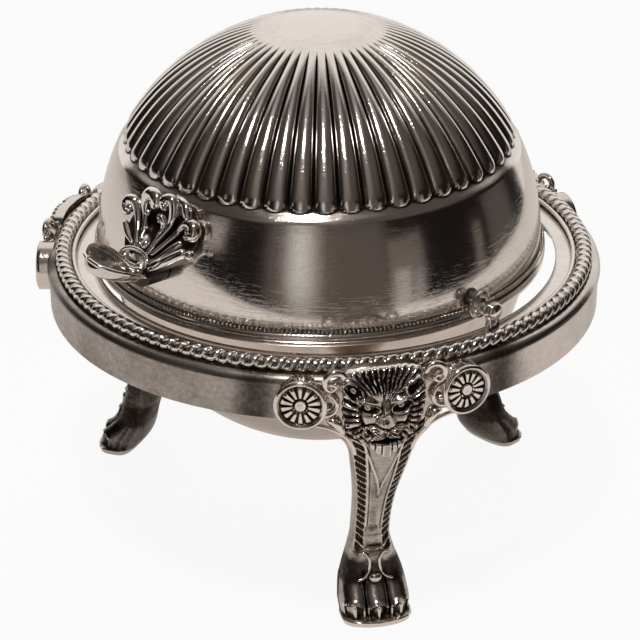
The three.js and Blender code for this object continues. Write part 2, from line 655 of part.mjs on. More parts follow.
/** A drum with a rim and a rosette of petals round a button, facing out on its own bearing. */
function rosetteDrum(bearing) {
  const drum = new Skin();
  const turnPoint = (radius, depth) => (t, i) => {
    const angle = 2 * Math.PI * t;
    const out = typeof depth === 'function' ? depth(i) : depth;
    return new THREE.Vector3(radius * Math.cos(angle), -(rosetteReach - out), ROSETTE_Z + radius * Math.sin(angle));
  };
  const count = ROSETTE_PETALS * 2;
  const length = rosetteReach - BAND_R + 1.5;
  const petal = (i) => (i % 2 ? 2.4 : 0.9);
  let ring = drum.ring(count, turnPoint(ROSETTE_R, length));
  drum.close(ring, new THREE.Vector3(0, -(BAND_R - 1.5), ROSETTE_Z), false);
  for (const [radius, depth] of [
    [ROSETTE_R, 0.2], [ROSETTE_R - 0.9, 0.2], [ROSETTE_R - 1.8, petal], [ROSETTE_R * 0.3, petal],
    [ROSETTE_R * 0.22, 0.4],
  ]) {
    ring = drum.bridge(ring, drum.ring(count, turnPoint(radius, depth)));
  }
  drum.close(ring, new THREE.Vector3(0, -rosetteReach, ROSETTE_Z), true);
  return drum.geometry().rotateZ(rad(bearing));
}

function legCasting(bend) {
  const leg = new Skin();
  const rings = stations.map((station) => leg.ring(20, (t) => legPoint(station, t, bend)));
  rings.slice(1).reduce((lower, upper) => leg.bridge(lower, upper), rings[0]);
  leg.close(rings[0], ringCentre(leg, rings[0]), false);
  leg.close(rings.at(-1), ringCentre(leg, rings.at(-1)), true);
  return join([leg.geometry(), lionMask(), rosetteDrum(rosetteBearing), rosetteDrum(-rosetteBearing)]);
}

// The space that the ring frame takes, which the castings are fitted round.
const frameClear = turn([
  [0, BAND_BASE_Z - SEAT_GAP],
  [BAND_R + SEAT_GAP, BAND_BASE_Z - SEAT_GAP],
  [BAND_R + SEAT_GAP, bandTopZ - SEAT_GAP],
  [swellR + SEAT_GAP, bandTopZ],
  [swellR + SEAT_GAP, bandTopZ + SHOULDER_H * 0.5],
  [BAND_R - 0.9 + SEAT_GAP, shoulderTop],
  [ropeR + ROPE_WIRE_R + SEAT_GAP, shoulderTop + SEAT_GAP],
  [ropeR + ROPE_WIRE_R + SEAT_GAP, shoulderTop + 12],
  [0, shoulderTop + 12],
]);
for (const { side, bearing, ...bend } of LEGS) {
  const leg = new THREE.Group();
  leg.rotation.z = rad(bearing);
  dish.add(leg);
  place(leg, `leg_${side}`, surface(cut(legCasting(bend), [frameClear])), castSilver);
}

// Inside the bowl: a pierced drainer on the bowl's wall and a glass dish standing on it.
const inside = new THREE.Group();
inside.position.copy(pivots.position);
dish.add(inside);
const bowlWidthAt = (z) => bowlInnerR * Math.sqrt(1 - (z / bowlInnerDepth) ** 2);
const drainerR = bowlWidthAt(-DRAINER_DROP) - 2 * SEAT_GAP;
const drainerPlate = turn([
  [0, -DRAINER_DROP],
  [drainerR - 1, -DRAINER_DROP],
  [drainerR, -DRAINER_DROP + 1],
  [drainerR, -DRAINER_DROP + DRAINER_RIM],
  [drainerR - DRAINER_T, -DRAINER_DROP + DRAINER_RIM],
  [drainerR - DRAINER_T, -DRAINER_DROP + DRAINER_T],
  [0, -DRAINER_DROP + DRAINER_T],
], 36);
const holes = [[20, 6], [42, 12]].flatMap(([radius, count]) => Array.from({ length: count }, (_, i) => {
  const centre = polar(radius * (drainerR / 62), (2 * Math.PI * i) / count, -DRAINER_DROP + DRAINER_T / 2);
  return turn([[0, -3], [DRAINER_HOLE_R, -3], [DRAINER_HOLE_R, 3], [0, 3]], 6).translate(centre.x, centre.y, centre.z);
}));
place(inside, 'drainer', surface(cut(solid(drainerPlate), holes)), bowlSilver);

const dishZ = -DRAINER_DROP + DRAINER_T + SEAT_GAP;
const dishR = drainerR - DISH_INSET;
place(inside, 'glass_dish', turn([
  [0, dishZ + 0.8],
  [DISH_FOOT_R - 4, dishZ + 0.8],
  [DISH_FOOT_R - 3, dishZ],
  [DISH_FOOT_R, dishZ],
  [DISH_FOOT_R + 1, dishZ + 3],
  [dishR - 11, dishZ + DISH_H * 0.34],
  [dishR - 3, dishZ + DISH_H * 0.68],
  [dishR, dishZ + DISH_H],
  [dishR - DISH_WALL, dishZ + DISH_H],
  [dishR - 3 - DISH_WALL, dishZ + DISH_H * 0.7],
  [dishR - 12 - DISH_WALL, dishZ + DISH_H * 0.34 + DISH_WALL],
  [DISH_FOOT_R - 1, dishZ + 3 + DISH_WALL],
  [0, dishZ + 2.6 + DISH_WALL],
], 32), glass);

// The origin is the middle of the footprint, on the table.
dish.updateMatrixWorld(true);
const middle = new THREE.Box3().setFromObject(dish, true).getCenter(new THREE.Vector3());
dish.position.set(-middle.x, -middle.y, 0);

export default dish;
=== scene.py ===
"""Revolving caviar dish in old silver plate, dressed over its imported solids.

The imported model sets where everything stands. Lengths in this file are
millimetres, counted from the middle of the ring or from the pivot axis, and
Shape.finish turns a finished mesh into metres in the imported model's own frame.
Bearings run from the handle side, which faces -Y, towards +X.
"""

import logging
import math
from collections.abc import Callable, Iterable, Sequence
from dataclasses import dataclass
from enum import Enum
from typing import Protocol

import bmesh
import bpy
import numpy as np
from mathutils import Matrix, Vector


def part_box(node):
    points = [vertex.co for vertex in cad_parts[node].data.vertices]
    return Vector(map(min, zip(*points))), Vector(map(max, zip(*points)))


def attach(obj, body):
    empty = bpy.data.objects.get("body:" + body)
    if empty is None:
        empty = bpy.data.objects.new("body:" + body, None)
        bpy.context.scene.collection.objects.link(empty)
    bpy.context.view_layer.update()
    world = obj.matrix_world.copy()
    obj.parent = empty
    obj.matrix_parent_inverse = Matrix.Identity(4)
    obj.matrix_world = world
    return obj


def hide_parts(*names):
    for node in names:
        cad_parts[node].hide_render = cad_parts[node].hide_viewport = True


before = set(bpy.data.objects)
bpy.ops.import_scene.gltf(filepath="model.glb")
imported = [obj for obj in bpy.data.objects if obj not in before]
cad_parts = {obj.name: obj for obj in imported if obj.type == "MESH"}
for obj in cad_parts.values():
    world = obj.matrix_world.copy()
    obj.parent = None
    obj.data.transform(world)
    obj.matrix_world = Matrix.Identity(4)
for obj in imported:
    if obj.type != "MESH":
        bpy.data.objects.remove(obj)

log = logging.getLogger("caviar_dish")

MM = 0.001
WELD = 1e-4  # points closer than this are one, in millimetres
ROUND = 240  # steps of a full turn where the eye follows the rim
BOWL_ROUND = 160  # steps of a full turn for the bowl and its rim
Colour = tuple[float, float, float]
WHITE: Colour = (1.0, 1.0, 1.0)
Edge = tuple[float, float]
Place = Callable[[float, float], Vector]


class Body(Enum):
    """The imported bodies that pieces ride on."""

    BASE = "base"
    DOME = "dome"
    DRAINER = "drainer"
    GLASS_DISH = "glass_dish"


class Slot(Enum):
    """The record's material slots."""

    RING = "ring_silver"
    DOME = "dome_silver"
    CAST = "cast_silver"
    BOWL = "bowl_silver"
    PIVOT = "pivot_silver"
    GLASS = "glass"


def smooth(low: float, high: float, x: float) -> float:
    """Rises smoothly from 0 at low to 1 at high."""
    t = min(1.0, max(0.0, (x - low) / (high - low)))
    return t * t * (3.0 - 2.0 * t)


def bump(x: float, width: float) -> float:
    """A rounded bump of height 1 at 0."""
    return math.exp(-((x / width) ** 2))


def reed(x: float) -> float:
    """The height of a half-round reed between -1 and 1."""
    return math.sqrt(max(0.0, 1.0 - x * x))


def mix(a: float, b: float, t: float) -> float:
    """The value a share t of the way from a to b."""
    return a + (b - a) * t


def polar(radius: float, bearing: float, z: float) -> Vector:
    """A point at a radius and height, on a bearing in radians."""
    return Vector((radius * math.sin(bearing), -radius * math.cos(bearing), z))


def on_sphere(radius: float, lat: float, bearing: float) -> Vector:
    """A point on a sphere about the pivot axis, at a latitude and bearing in degrees."""
    level = math.radians(lat)
    return polar(radius * math.cos(level), math.radians(bearing), radius * math.sin(level))


@dataclass(frozen=True)
class Layout:
    """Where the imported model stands: the ring's middle and the pivot axis.

    Attributes:
        ring: Moves a piece from the middle of the ring to its place.
        pivot: Moves a piece from the dome's centre to its place.
    """

    ring: Matrix
    pivot: Matrix

    @classmethod
    def read(cls) -> "Layout":
        """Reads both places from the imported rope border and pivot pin.

        Returns:
            The layout, in millimetres.
        """
        low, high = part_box("rope_border")
        middle = (low + high) / (2.0 * MM)
        low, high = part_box("pivot_pin_right")
        pin = (low + high) / (2.0 * MM)
        return cls(
            ring=Matrix.Translation((middle.x, middle.y, 0.0)),
            pivot=Matrix.Translation((middle.x, pin.y, pin.z)),
        )


class Curve:
    """A smooth line through given points."""

    def __init__(self, points: Iterable[Sequence[float]]) -> None:
        """Keeps the points that the line passes through."""
        self.points = [Vector(p) for p in points]

    def at(self, t: float) -> Vector:
        """The point a share t of the way along.

        Args:
            t: From 0 at the first point to 1 at the last.

        Returns:
            The point on the line.
        """
        last = len(self.points) - 1
        place = min(max(t, 0.0), 1.0) * last
        i = min(int(place), last - 1)
        u = place - i
        p1, p2 = self.points[i], self.points[i + 1]
        p0 = self.points[i - 1] if i > 0 else p1 * 2 - p2
        p3 = self.points[i + 2] if i + 2 <= last else p2 * 2 - p1
        return 0.5 * (
            p1 * 2
            + (p2 - p0) * u
            + (p0 * 2 - p1 * 5 + p2 * 4 - p3) * u**2
            + (p1 * 3 - p0 - p2 * 3 + p3) * u**3
        )


# Shader maths.


class Value:
    """A number in a shader that Python's arithmetic works on."""

    def __init__(self, shader: "Shader", socket: bpy.types.NodeSocket) -> None:
        """Wraps one output socket."""
        self.shader = shader
        self.socket = socket

    def __add__(self, other: "Value | float") -> "Value":
        """This plus the other."""
        return self.shader.math("ADD", self, other)

    def __radd__(self, other: float) -> "Value":
        """The other plus this."""
        return self.shader.math("ADD", other, self)

    def __sub__(self, other: "Value | float") -> "Value":
        """This minus the other."""
        return self.shader.math("SUBTRACT", self, other)

    def __rsub__(self, other: float) -> "Value":
        """The other minus this."""
        return self.shader.math("SUBTRACT", other, self)

    def __mul__(self, other: "Value | float") -> "Value":
        """This times the other."""
        return self.shader.math("MULTIPLY", self, other)

    def __rmul__(self, other: float) -> "Value":
        """The other times this."""
        return self.shader.math("MULTIPLY", other, self)

    def clamped(self) -> "Value":
        """This kept between 0 and 1."""
        return self.shader.math("MINIMUM", self.shader.math("MAXIMUM", self, 0.0), 1.0)

    def rise(self, low: float, high: float) -> "Value":
        """A smooth rise from 0 to 1 as this goes from low to high.

        Args:
            low: Where the result is 0.
            high: Where the result is 1. It may lie below low.

        Returns:
            The smoothed value.
        """
        falls = high < low
        ends = (high, low) if falls else (low, high)
        node = self.shader.node(
            "ShaderNodeMapRange",
            {"interpolation_type": "SMOOTHSTEP"},
            {"Value": self, "From Min": ends[0], "From Max": ends[1],
             "To Min": 1.0 if falls else 0.0, "To Max": 0.0 if falls else 1.0},
        )
        return Value(self.shader, node.outputs["Result"])


class Shader:
    """A node tree with one method that makes any node."""

    def __init__(self, tree: bpy.types.NodeTree) -> None:
        """Starts from an empty tree."""
        self.tree = tree
        tree.nodes.clear()

    def node(
        self,
        kind: str,
        settings: dict[str, object] | None = None,
        inputs: dict[str | int, object] | None = None,
    ) -> bpy.types.Node:
        """Makes a node.

        Args:
            kind: The node's type.
            settings: Its properties, set first. "stops" are a ramp's places and colours.
            inputs: Values or links for its sockets, by name or number.

        Returns:
            The new node.
        """
        made = self.tree.nodes.new(kind)
        for name, value in (settings or {}).items():
            if name == "stops":
                ramp = made.color_ramp
                while len(ramp.elements) < len(value):
                    ramp.elements.new(1.0)
                for element, (place, colour) in zip(ramp.elements, value):
                    element.position = place
                    element.color = (*colour, 1.0)
            else:
                setattr(made, name, value)
        for key, value in (inputs or {}).items():
            self.feed(made.inputs[key], value)
        return made

    def feed(self, socket: bpy.types.NodeSocket, value: object) -> None:
        """Links or sets a socket.

        Args:
            socket: The input socket.
            value: A Value, an output socket, a number or a colour.
        """
        if isinstance(value, Value):
            self.tree.links.new(value.socket, socket)
        elif isinstance(value, bpy.types.NodeSocket):
            self.tree.links.new(value, socket)
        elif socket.type == "RGBA" and len(value) == 3:
            socket.default_value = (*value, 1.0)
        else:
            socket.default_value = value

    def math(self, operation: str, a: object, b: object = 0.0) -> Value:
        """The result of a Math node on one or two numbers."""
        made = self.node("ShaderNodeMath", {"operation": operation}, {0: a, 1: b})
        return Value(self, made.outputs[0])

    def blend(self, share: object, a: object, b: object) -> bpy.types.NodeSocket:
        """A colour that goes from a to b as the share goes from 0 to 1."""
        made = self.node("ShaderNodeMix", {"data_type": "RGBA"}, {0: share, 6: a, 7: b})
        return made.outputs[2]

    def noise(
        self, place: object, scale: float, detail: float = 3.0, roughness: float = 0.55
    ) -> Value:
        """Cloudy noise around 0.5, with its scale per metre and the layers of detail in it."""
        made = self.node(
            "ShaderNodeTexNoise",
            None,
            {"Vector": place, "Scale": scale, "Detail": detail, "Roughness": roughness},
        )
        return Value(self, made.outputs[0])

    def stretched(self, place: object, turn: Colour, scale: Colour) -> bpy.types.NodeSocket:
        """Coordinates turned about each axis, in degrees, and scaled along each."""
        made = self.node(
            "ShaderNodeMapping",
            {"vector_type": "POINT"},
            {"Vector": place, "Rotation": tuple(map(math.radians, turn)), "Scale": scale},
        )
        return made.outputs[0]


class Coat(Protocol):
    """A finish that a piece can be given.

    Attributes:
        slot: The record's slot that it dresses.
    """

    slot: Slot

    def material(self) -> bpy.types.Material:
        """Makes or finds the material."""


@dataclass(frozen=True)
class Silver:
    """Old silver plate: rubbed bright on top, brown-black in the hollows, finely scratched.

    Attributes:
        name: The material's name.
        slot: The record's slot that it would dress; not used.
        bright: Its colour where it is rubbed.
        dull: Its colour where it has tarnished.
        hollow: Its colour in the hollows.
        gloss: Its roughness where it is bright.
        haze: How much rougher it is where it has tarnished.
        tarnish: How much of it has tarnished, from 0 to 1.
        patchy: How uneven the tarnish is.
        rubbing: How much its raised edges are rubbed bright.
        scratches: How deep its scratches look.
        pits: How deep its casting pits look.
        hollow_from: How high the layer of hollows and painted shade is where it starts to darken.
        hollow_to: How high that layer is where it is darkest.
    """

    name: str
    slot: Slot
    bright: Colour = (0.84, 0.785, 0.735)
    dull: Colour = (0.40, 0.335, 0.29)
    hollow: Colour = (0.030, 0.021, 0.016)
    gloss: float = 0.10
    haze: float = 0.14
    tarnish: float = 0.2
    patchy: float = 0.8
    rubbing: float = 1.0
    scratches: float = 0.25
    pits: float = 0.05
    hollow_from: float = 0.15
    hollow_to: float = 0.75

    def material(self) -> bpy.types.Material:
        """Makes the material once and finds it again after that.

        Returns:
            The silver's material.
        """
        found = bpy.data.materials.get(self.name)
        if found:
            return found
        made = bpy.data.materials.new(self.name)
        made.use_nodes = True
        sh = Shader(made.node_tree)
        place = sh.node("ShaderNodeTexCoord").outputs["Object"]
        sunk = Value(sh, sh.node("ShaderNodeAttribute", {"attribute_name": "sunk"}).outputs["Fac"])
        raised = Value(sh, sh.node("ShaderNodeAttribute", {"attribute_name": "raised"}).outputs["Fac"])

        cloud = sh.noise(place, 42.0, 6.0, 0.68)
        speck = sh.noise(place, 640.0, 3.0, 0.6)
        grain = sh.noise(sh.stretched(place, (0, 0, 0), (260.0, 260.0, 2600.0)), 1.0, 3.0)
        level = sh.noise(sh.stretched(place, (0, 0, 0), (110.0, 110.0, 3600.0)), 1.0, 2.0)
        slanting = sh.noise(sh.stretched(place, (28, 17, 40), (90.0, 2600.0, 2600.0)), 1.0, 2.0)
        crossing = sh.noise(sh.stretched(place, (-35, 50, -20), (3000.0, 120.0, 3000.0)), 1.0, 2.0)
        scratched = level.rise(0.56, 0.70) + slanting.rise(0.60, 0.72) + crossing.rise(0.62, 0.74)

        darkening = (
            (cloud - 0.5) * (2.4 * self.patchy) + (speck - 0.5) * 0.45 + (grain - 0.5) * (0.9 * self.patchy)
        )
        tarnished = (darkening * 0.5 + self.tarnish - raised * self.rubbing).clamped()
        # Darker towards the hollow colour by how sunk each point is, and by the painted shade and other
        # darkening that some pieces write into the same layer.
        depth = (sunk + (cloud - 0.5) * 0.3 + (speck - 0.5) * 0.3).rise(self.hollow_from, self.hollow_to)
        metal = sh.blend(tarnished, self.bright, self.dull)
        metal = sh.blend(depth * 0.96, metal, self.hollow)
        rough = (
            self.gloss + tarnished * self.haze + depth * 0.22 + (speck - 0.5) * 0.06
            + scratched * (0.05 * self.scratches)
        )
        height = speck.rise(0.30, 0.72) * self.pits + cloud * 0.4 - scratched * (0.22 * self.scratches)
        relief = sh.node(
            "ShaderNodeBump", None, {"Strength": 0.35, "Distance": 0.00012, "Height": height}
        )
        skin = sh.node("ShaderNodeBsdfPrincipled", None, {
            "Base Color": metal, "Metallic": 1.0, "Roughness": rough.clamped(), "Normal": relief.outputs[0],
        })
        sh.node("ShaderNodeOutputMaterial", None, {"Surface": skin.outputs[0]})
        return made


@dataclass(frozen=True)
class Glass:
    """Clear pressed glass with a faint ripple.

    Attributes:
        name: The material's name.
        slot: The record's slot that it would dress; not used.
        tint: Its colour.
    """

    name: str = "pressed_glass"
    slot: Slot = Slot.GLASS
    tint: Colour = (0.93, 0.97, 0.96)

    def material(self) -> bpy.types.Material:
        """Makes the material once and finds it again after that.

        Returns:
            The glass's material.
        """
        found = bpy.data.materials.get(self.name)
        if found:
            return found
        made = bpy.data.materials.new(self.name)
        made.use_nodes = True
        sh = Shader(made.node_tree)
        place = sh.node("ShaderNodeTexCoord").outputs["Object"]
        ripple = sh.noise(place, 120.0, 2.0)
        relief = sh.node("ShaderNodeBump", None, {"Strength": 0.12, "Distance": 0.0004, "Height": ripple})
        skin = sh.node(
            "ShaderNodeBsdfPrincipled",
            None,
            {"Base Color": self.tint, "Roughness": 0.03 + sh.noise(place, 300.0) * 0.04, "IOR": 1.48,
             "Transmission Weight": 1.0, "Normal": relief.outputs[0]},
        )
        sh.node("ShaderNodeOutputMaterial", None, {"Surface": skin.outputs[0]})
        return made


# Mesh making.


class Shape:
    """A piece in the making: a mesh with a layer for how sunk each point is, which also carries painted
    shade and other darkening, and one for how raised it is.
    """

    def __init__(self) -> None:
        """Starts with an empty mesh."""
        self.mesh = bmesh.new()
        self.mesh.verts.layers.float.new("sunk")
        self.mesh.verts.layers.float.new("raised")

    @property
    def sunk(self) -> bmesh.types.BMLayerItem:
        """The layer for how sunk a point is, which also carries painted shade and other darkening."""
        return self.mesh.verts.layers.float["sunk"]

    @property
    def raised(self) -> bmesh.types.BMLayerItem:
        """The layer for how raised a point is."""
        return self.mesh.verts.layers.float["raised"]

    def move(self, verts: Iterable[bmesh.types.BMVert], matrix: Matrix) -> None:
        """Moves some points."""
        bmesh.ops.transform(self.mesh, matrix=matrix, verts=list(verts))

    def turn(
        self, profile: Sequence[tuple[float, float]], steps: int, closed: bool = True
    ) -> list[bmesh.types.BMVert]:
        """Turns a profile about the Z axis.

        Args:
            profile: Pairs of radius and height.
            steps: How many steps a full turn has.
            closed: Whether the last point joins the first.

        Returns:
            The new points.
        """
        before = set(self.mesh.verts)
        line = [self.mesh.verts.new((r, 0.0, z)) for r, z in profile]
        pairs = list(zip(line, line[1:]))
        if closed:
            pairs.append((line[-1], line[0]))
        edges = [self.mesh.edges.new(pair) for pair in pairs]
        bmesh.ops.spin(
            self.mesh, geom=line + edges, cent=(0, 0, 0), axis=(0, 0, 1), dvec=(0, 0, 0),
            angle=2 * math.pi, steps=steps, use_merge=True, use_duplicate=False,
        )
        made = [v for v in self.mesh.verts if v not in before]
        bmesh.ops.remove_doubles(self.mesh, verts=made, dist=WELD)
        return [v for v in self.mesh.verts if v not in before]

    def sheet(self, columns: int, rows: int, place: Place) -> list[bmesh.types.BMVert]:
        """Lays a grid over a surface and welds the edges that meet.

        Args:
            columns: How many faces it has across.
            rows: How many faces it has along.
            place: Gives the point for a share across and a share along.

        Returns:
            The new points.
        """
        grid = bmesh.ops.create_grid(self.mesh, x_segments=columns, y_segments=rows, size=1.0)
        made = grid["verts"]
        for v in made:
            v.co = place((v.co.x + 1.0) / 2.0, (v.co.y + 1.0) / 2.0)
        known = set(made)
        bmesh.ops.remove_doubles(self.mesh, verts=made, dist=WELD)
        return [v for v in known if v.is_valid]

    def bar(
        self,
        line: Curve,
        radius: Callable[[float], float],
        sides: int = 10,
        steps: int = 24,
        up: Sequence[float] | None = None,
        flat: float = 1.0,
    ) -> list[bmesh.types.BMVert]:
        """Draws a round bar with rounded ends along a line.

        Args:
            line: The line that it follows.
            radius: Its radius at a share along the line.
            sides: How many sides it has.
            steps: How many steps it has along the line.
            up: A direction that its flat side faces.
            flat: Its height as a share of its width.

        Returns:
            The new points.
        """
        shares = [(1 - math.cos(math.pi * i / steps)) / 2 for i in range(steps + 1)]
        centres = [line.at(t) for t in shares]
        length = sum((b - a).length for a, b in zip(centres, centres[1:]))
        across: list[Vector] = []
        over: list[Vector] = []
        side = Vector(up or (0.31, 0.42, 0.85))
        for i, _ in enumerate(centres):
            along = (centres[min(i + 1, steps)] - centres[max(i - 1, 0)]).normalized()
            if up is None:
                side = (side - along * side.dot(along)).normalized()
                over.append(side.copy())
            else:
                face = Vector(up)
                over.append((face - along * face.dot(along)).normalized())
            across.append(along.cross(over[-1]).normalized())

        def place(s: float, t: float) -> Vector:
            """A point round the bar.

            Args:
                s: The share round it.
                t: The share along it.

            Returns:
                The point.
            """
            i = round(t * steps)
            share = shares[i]
            thick = radius(share)
            end = min(share, 1 - share) * length
            thick *= math.sqrt(max(0.0, 1 - (1 - min(1.0, end / max(thick, 1e-6))) ** 2))
            angle = 2 * math.pi * s
            return (
                centres[i] + across[i] * (thick * math.cos(angle))
                + over[i] * (thick * flat * math.sin(angle))
            )

        return self.sheet(sides, steps, place)

    def ball(self, centre: Vector, radius: Sequence[float], sides: int = 14) -> list[bmesh.types.BMVert]:
        """Adds a ball with a radius along each axis, or a flattened one."""
        matrix = Matrix.Translation(centre) @ Matrix.Diagonal((*radius, 1.0))
        return bmesh.ops.create_uvsphere(
            self.mesh, u_segments=sides, v_segments=max(4, sides // 2), radius=1.0, matrix=matrix
        )["verts"]

    def soften(self, amount: float, segments: int = 2, sharper_than: float = 30.0) -> None:
        """Rounds every edge that is sharper than an angle.

        Args:
            amount: How far the rounding reaches.
            segments: How many faces it has.
            sharper_than: The angle, in degrees.
        """
        limit = math.radians(sharper_than)
        edges = [e for e in self.mesh.edges if len(e.link_faces) == 2 and e.calc_face_angle(0.0) > limit]
        bmesh.ops.bevel(
            self.mesh, geom=edges, offset=amount, offset_type="OFFSET", segments=segments,
            profile=0.5, affect="EDGES", clamp_overlap=True, material=-1,
        )

    def darken(self, passes: int, depth: float) -> None:
        """Notes how far each point lies below or above the smoothed surface round it.

        Args:
            passes: How far round each point the surface is smoothed.
            depth: How far below it a point is fully sunk.
        """
        mesh = self.mesh
        mesh.verts.index_update()
        mesh.normal_update()
        points = np.array([v.co for v in mesh.verts])
        normals = np.array([v.normal for v in mesh.verts])
        pairs = np.array([[e.verts[0].index, e.verts[1].index] for e in mesh.edges])
        count = np.bincount(pairs.ravel(), minlength=len(points)).astype(float)[:, None]
        soft = points.copy()
        for _ in range(passes):
            total = np.zeros_like(soft)
            np.add.at(total, pairs[:, 0], soft[pairs[:, 1]])
            np.add.at(total, pairs[:, 1], soft[pairs[:, 0]])
            soft = 0.5 * soft + 0.5 * total / np.maximum(count, 1.0)
        below = np.einsum("ij,ij->i", soft - points, normals) / depth
        sunk, raised = self.sunk, self.raised
        for v, value in zip(mesh.verts, below):
            v[sunk] = max(v[sunk], min(1.0, max(0.0, float(value))))
            v[raised] = min(1.0, max(0.0, -float(value)))

    def finish(
        self,
        name: str,
        body: Body,
        coat: Coat,
        place: Matrix,
        replaces: Sequence[str],
        sharp: float = 50.0,
        hollows: tuple[int, float] | None = None,
    ) -> bpy.types.Object:
        """Makes the mesh a piece of the dish.

        Args:
            name: The piece's name.
            body: The body that it rides on.
            coat: Its finish.
            place: Moves it to its place, in millimetres.
            replaces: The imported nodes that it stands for.
            sharp: Edges sharper than this many degrees stay crisp.
            hollows: How far round and how deep the hollows are looked for.

        Returns:
            The finished object.
        """
        mesh = self.mesh
        bmesh.ops.remove_doubles(mesh, verts=mesh.verts, dist=2 * WELD)
        bmesh.ops.dissolve_degenerate(mesh, edges=mesh.edges, dist=WELD)
        bmesh.ops.recalc_face_normals(mesh, faces=mesh.faces)
        if hollows:
            self.darken(*hollows)
        self.move(mesh.verts, Matrix.Scale(MM, 4) @ place)
        data = bpy.data.meshes.new(name)
        for face in mesh.faces:
            face.smooth = True
        mesh.to_mesh(data)
        mesh.free()
        data.set_sharp_from_angle(angle=math.radians(sharp))
        data.materials.append(coat.material())
        made = bpy.data.objects.new(name, data)
        bpy.context.scene.collection.objects.link(made)
        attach(made, body.value)
        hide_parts(*replaces)
        log.info("%s: %d faces", name, len(data.polygons))
        return made


# The sub-assemblies.


@dataclass
class Part:
    """A sub-assembly of the dish.

    Attributes:
        layout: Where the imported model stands.
    """

    layout: Layout

    def build(self) -> None:
        """Builds every piece of it."""
        raise NotImplementedError


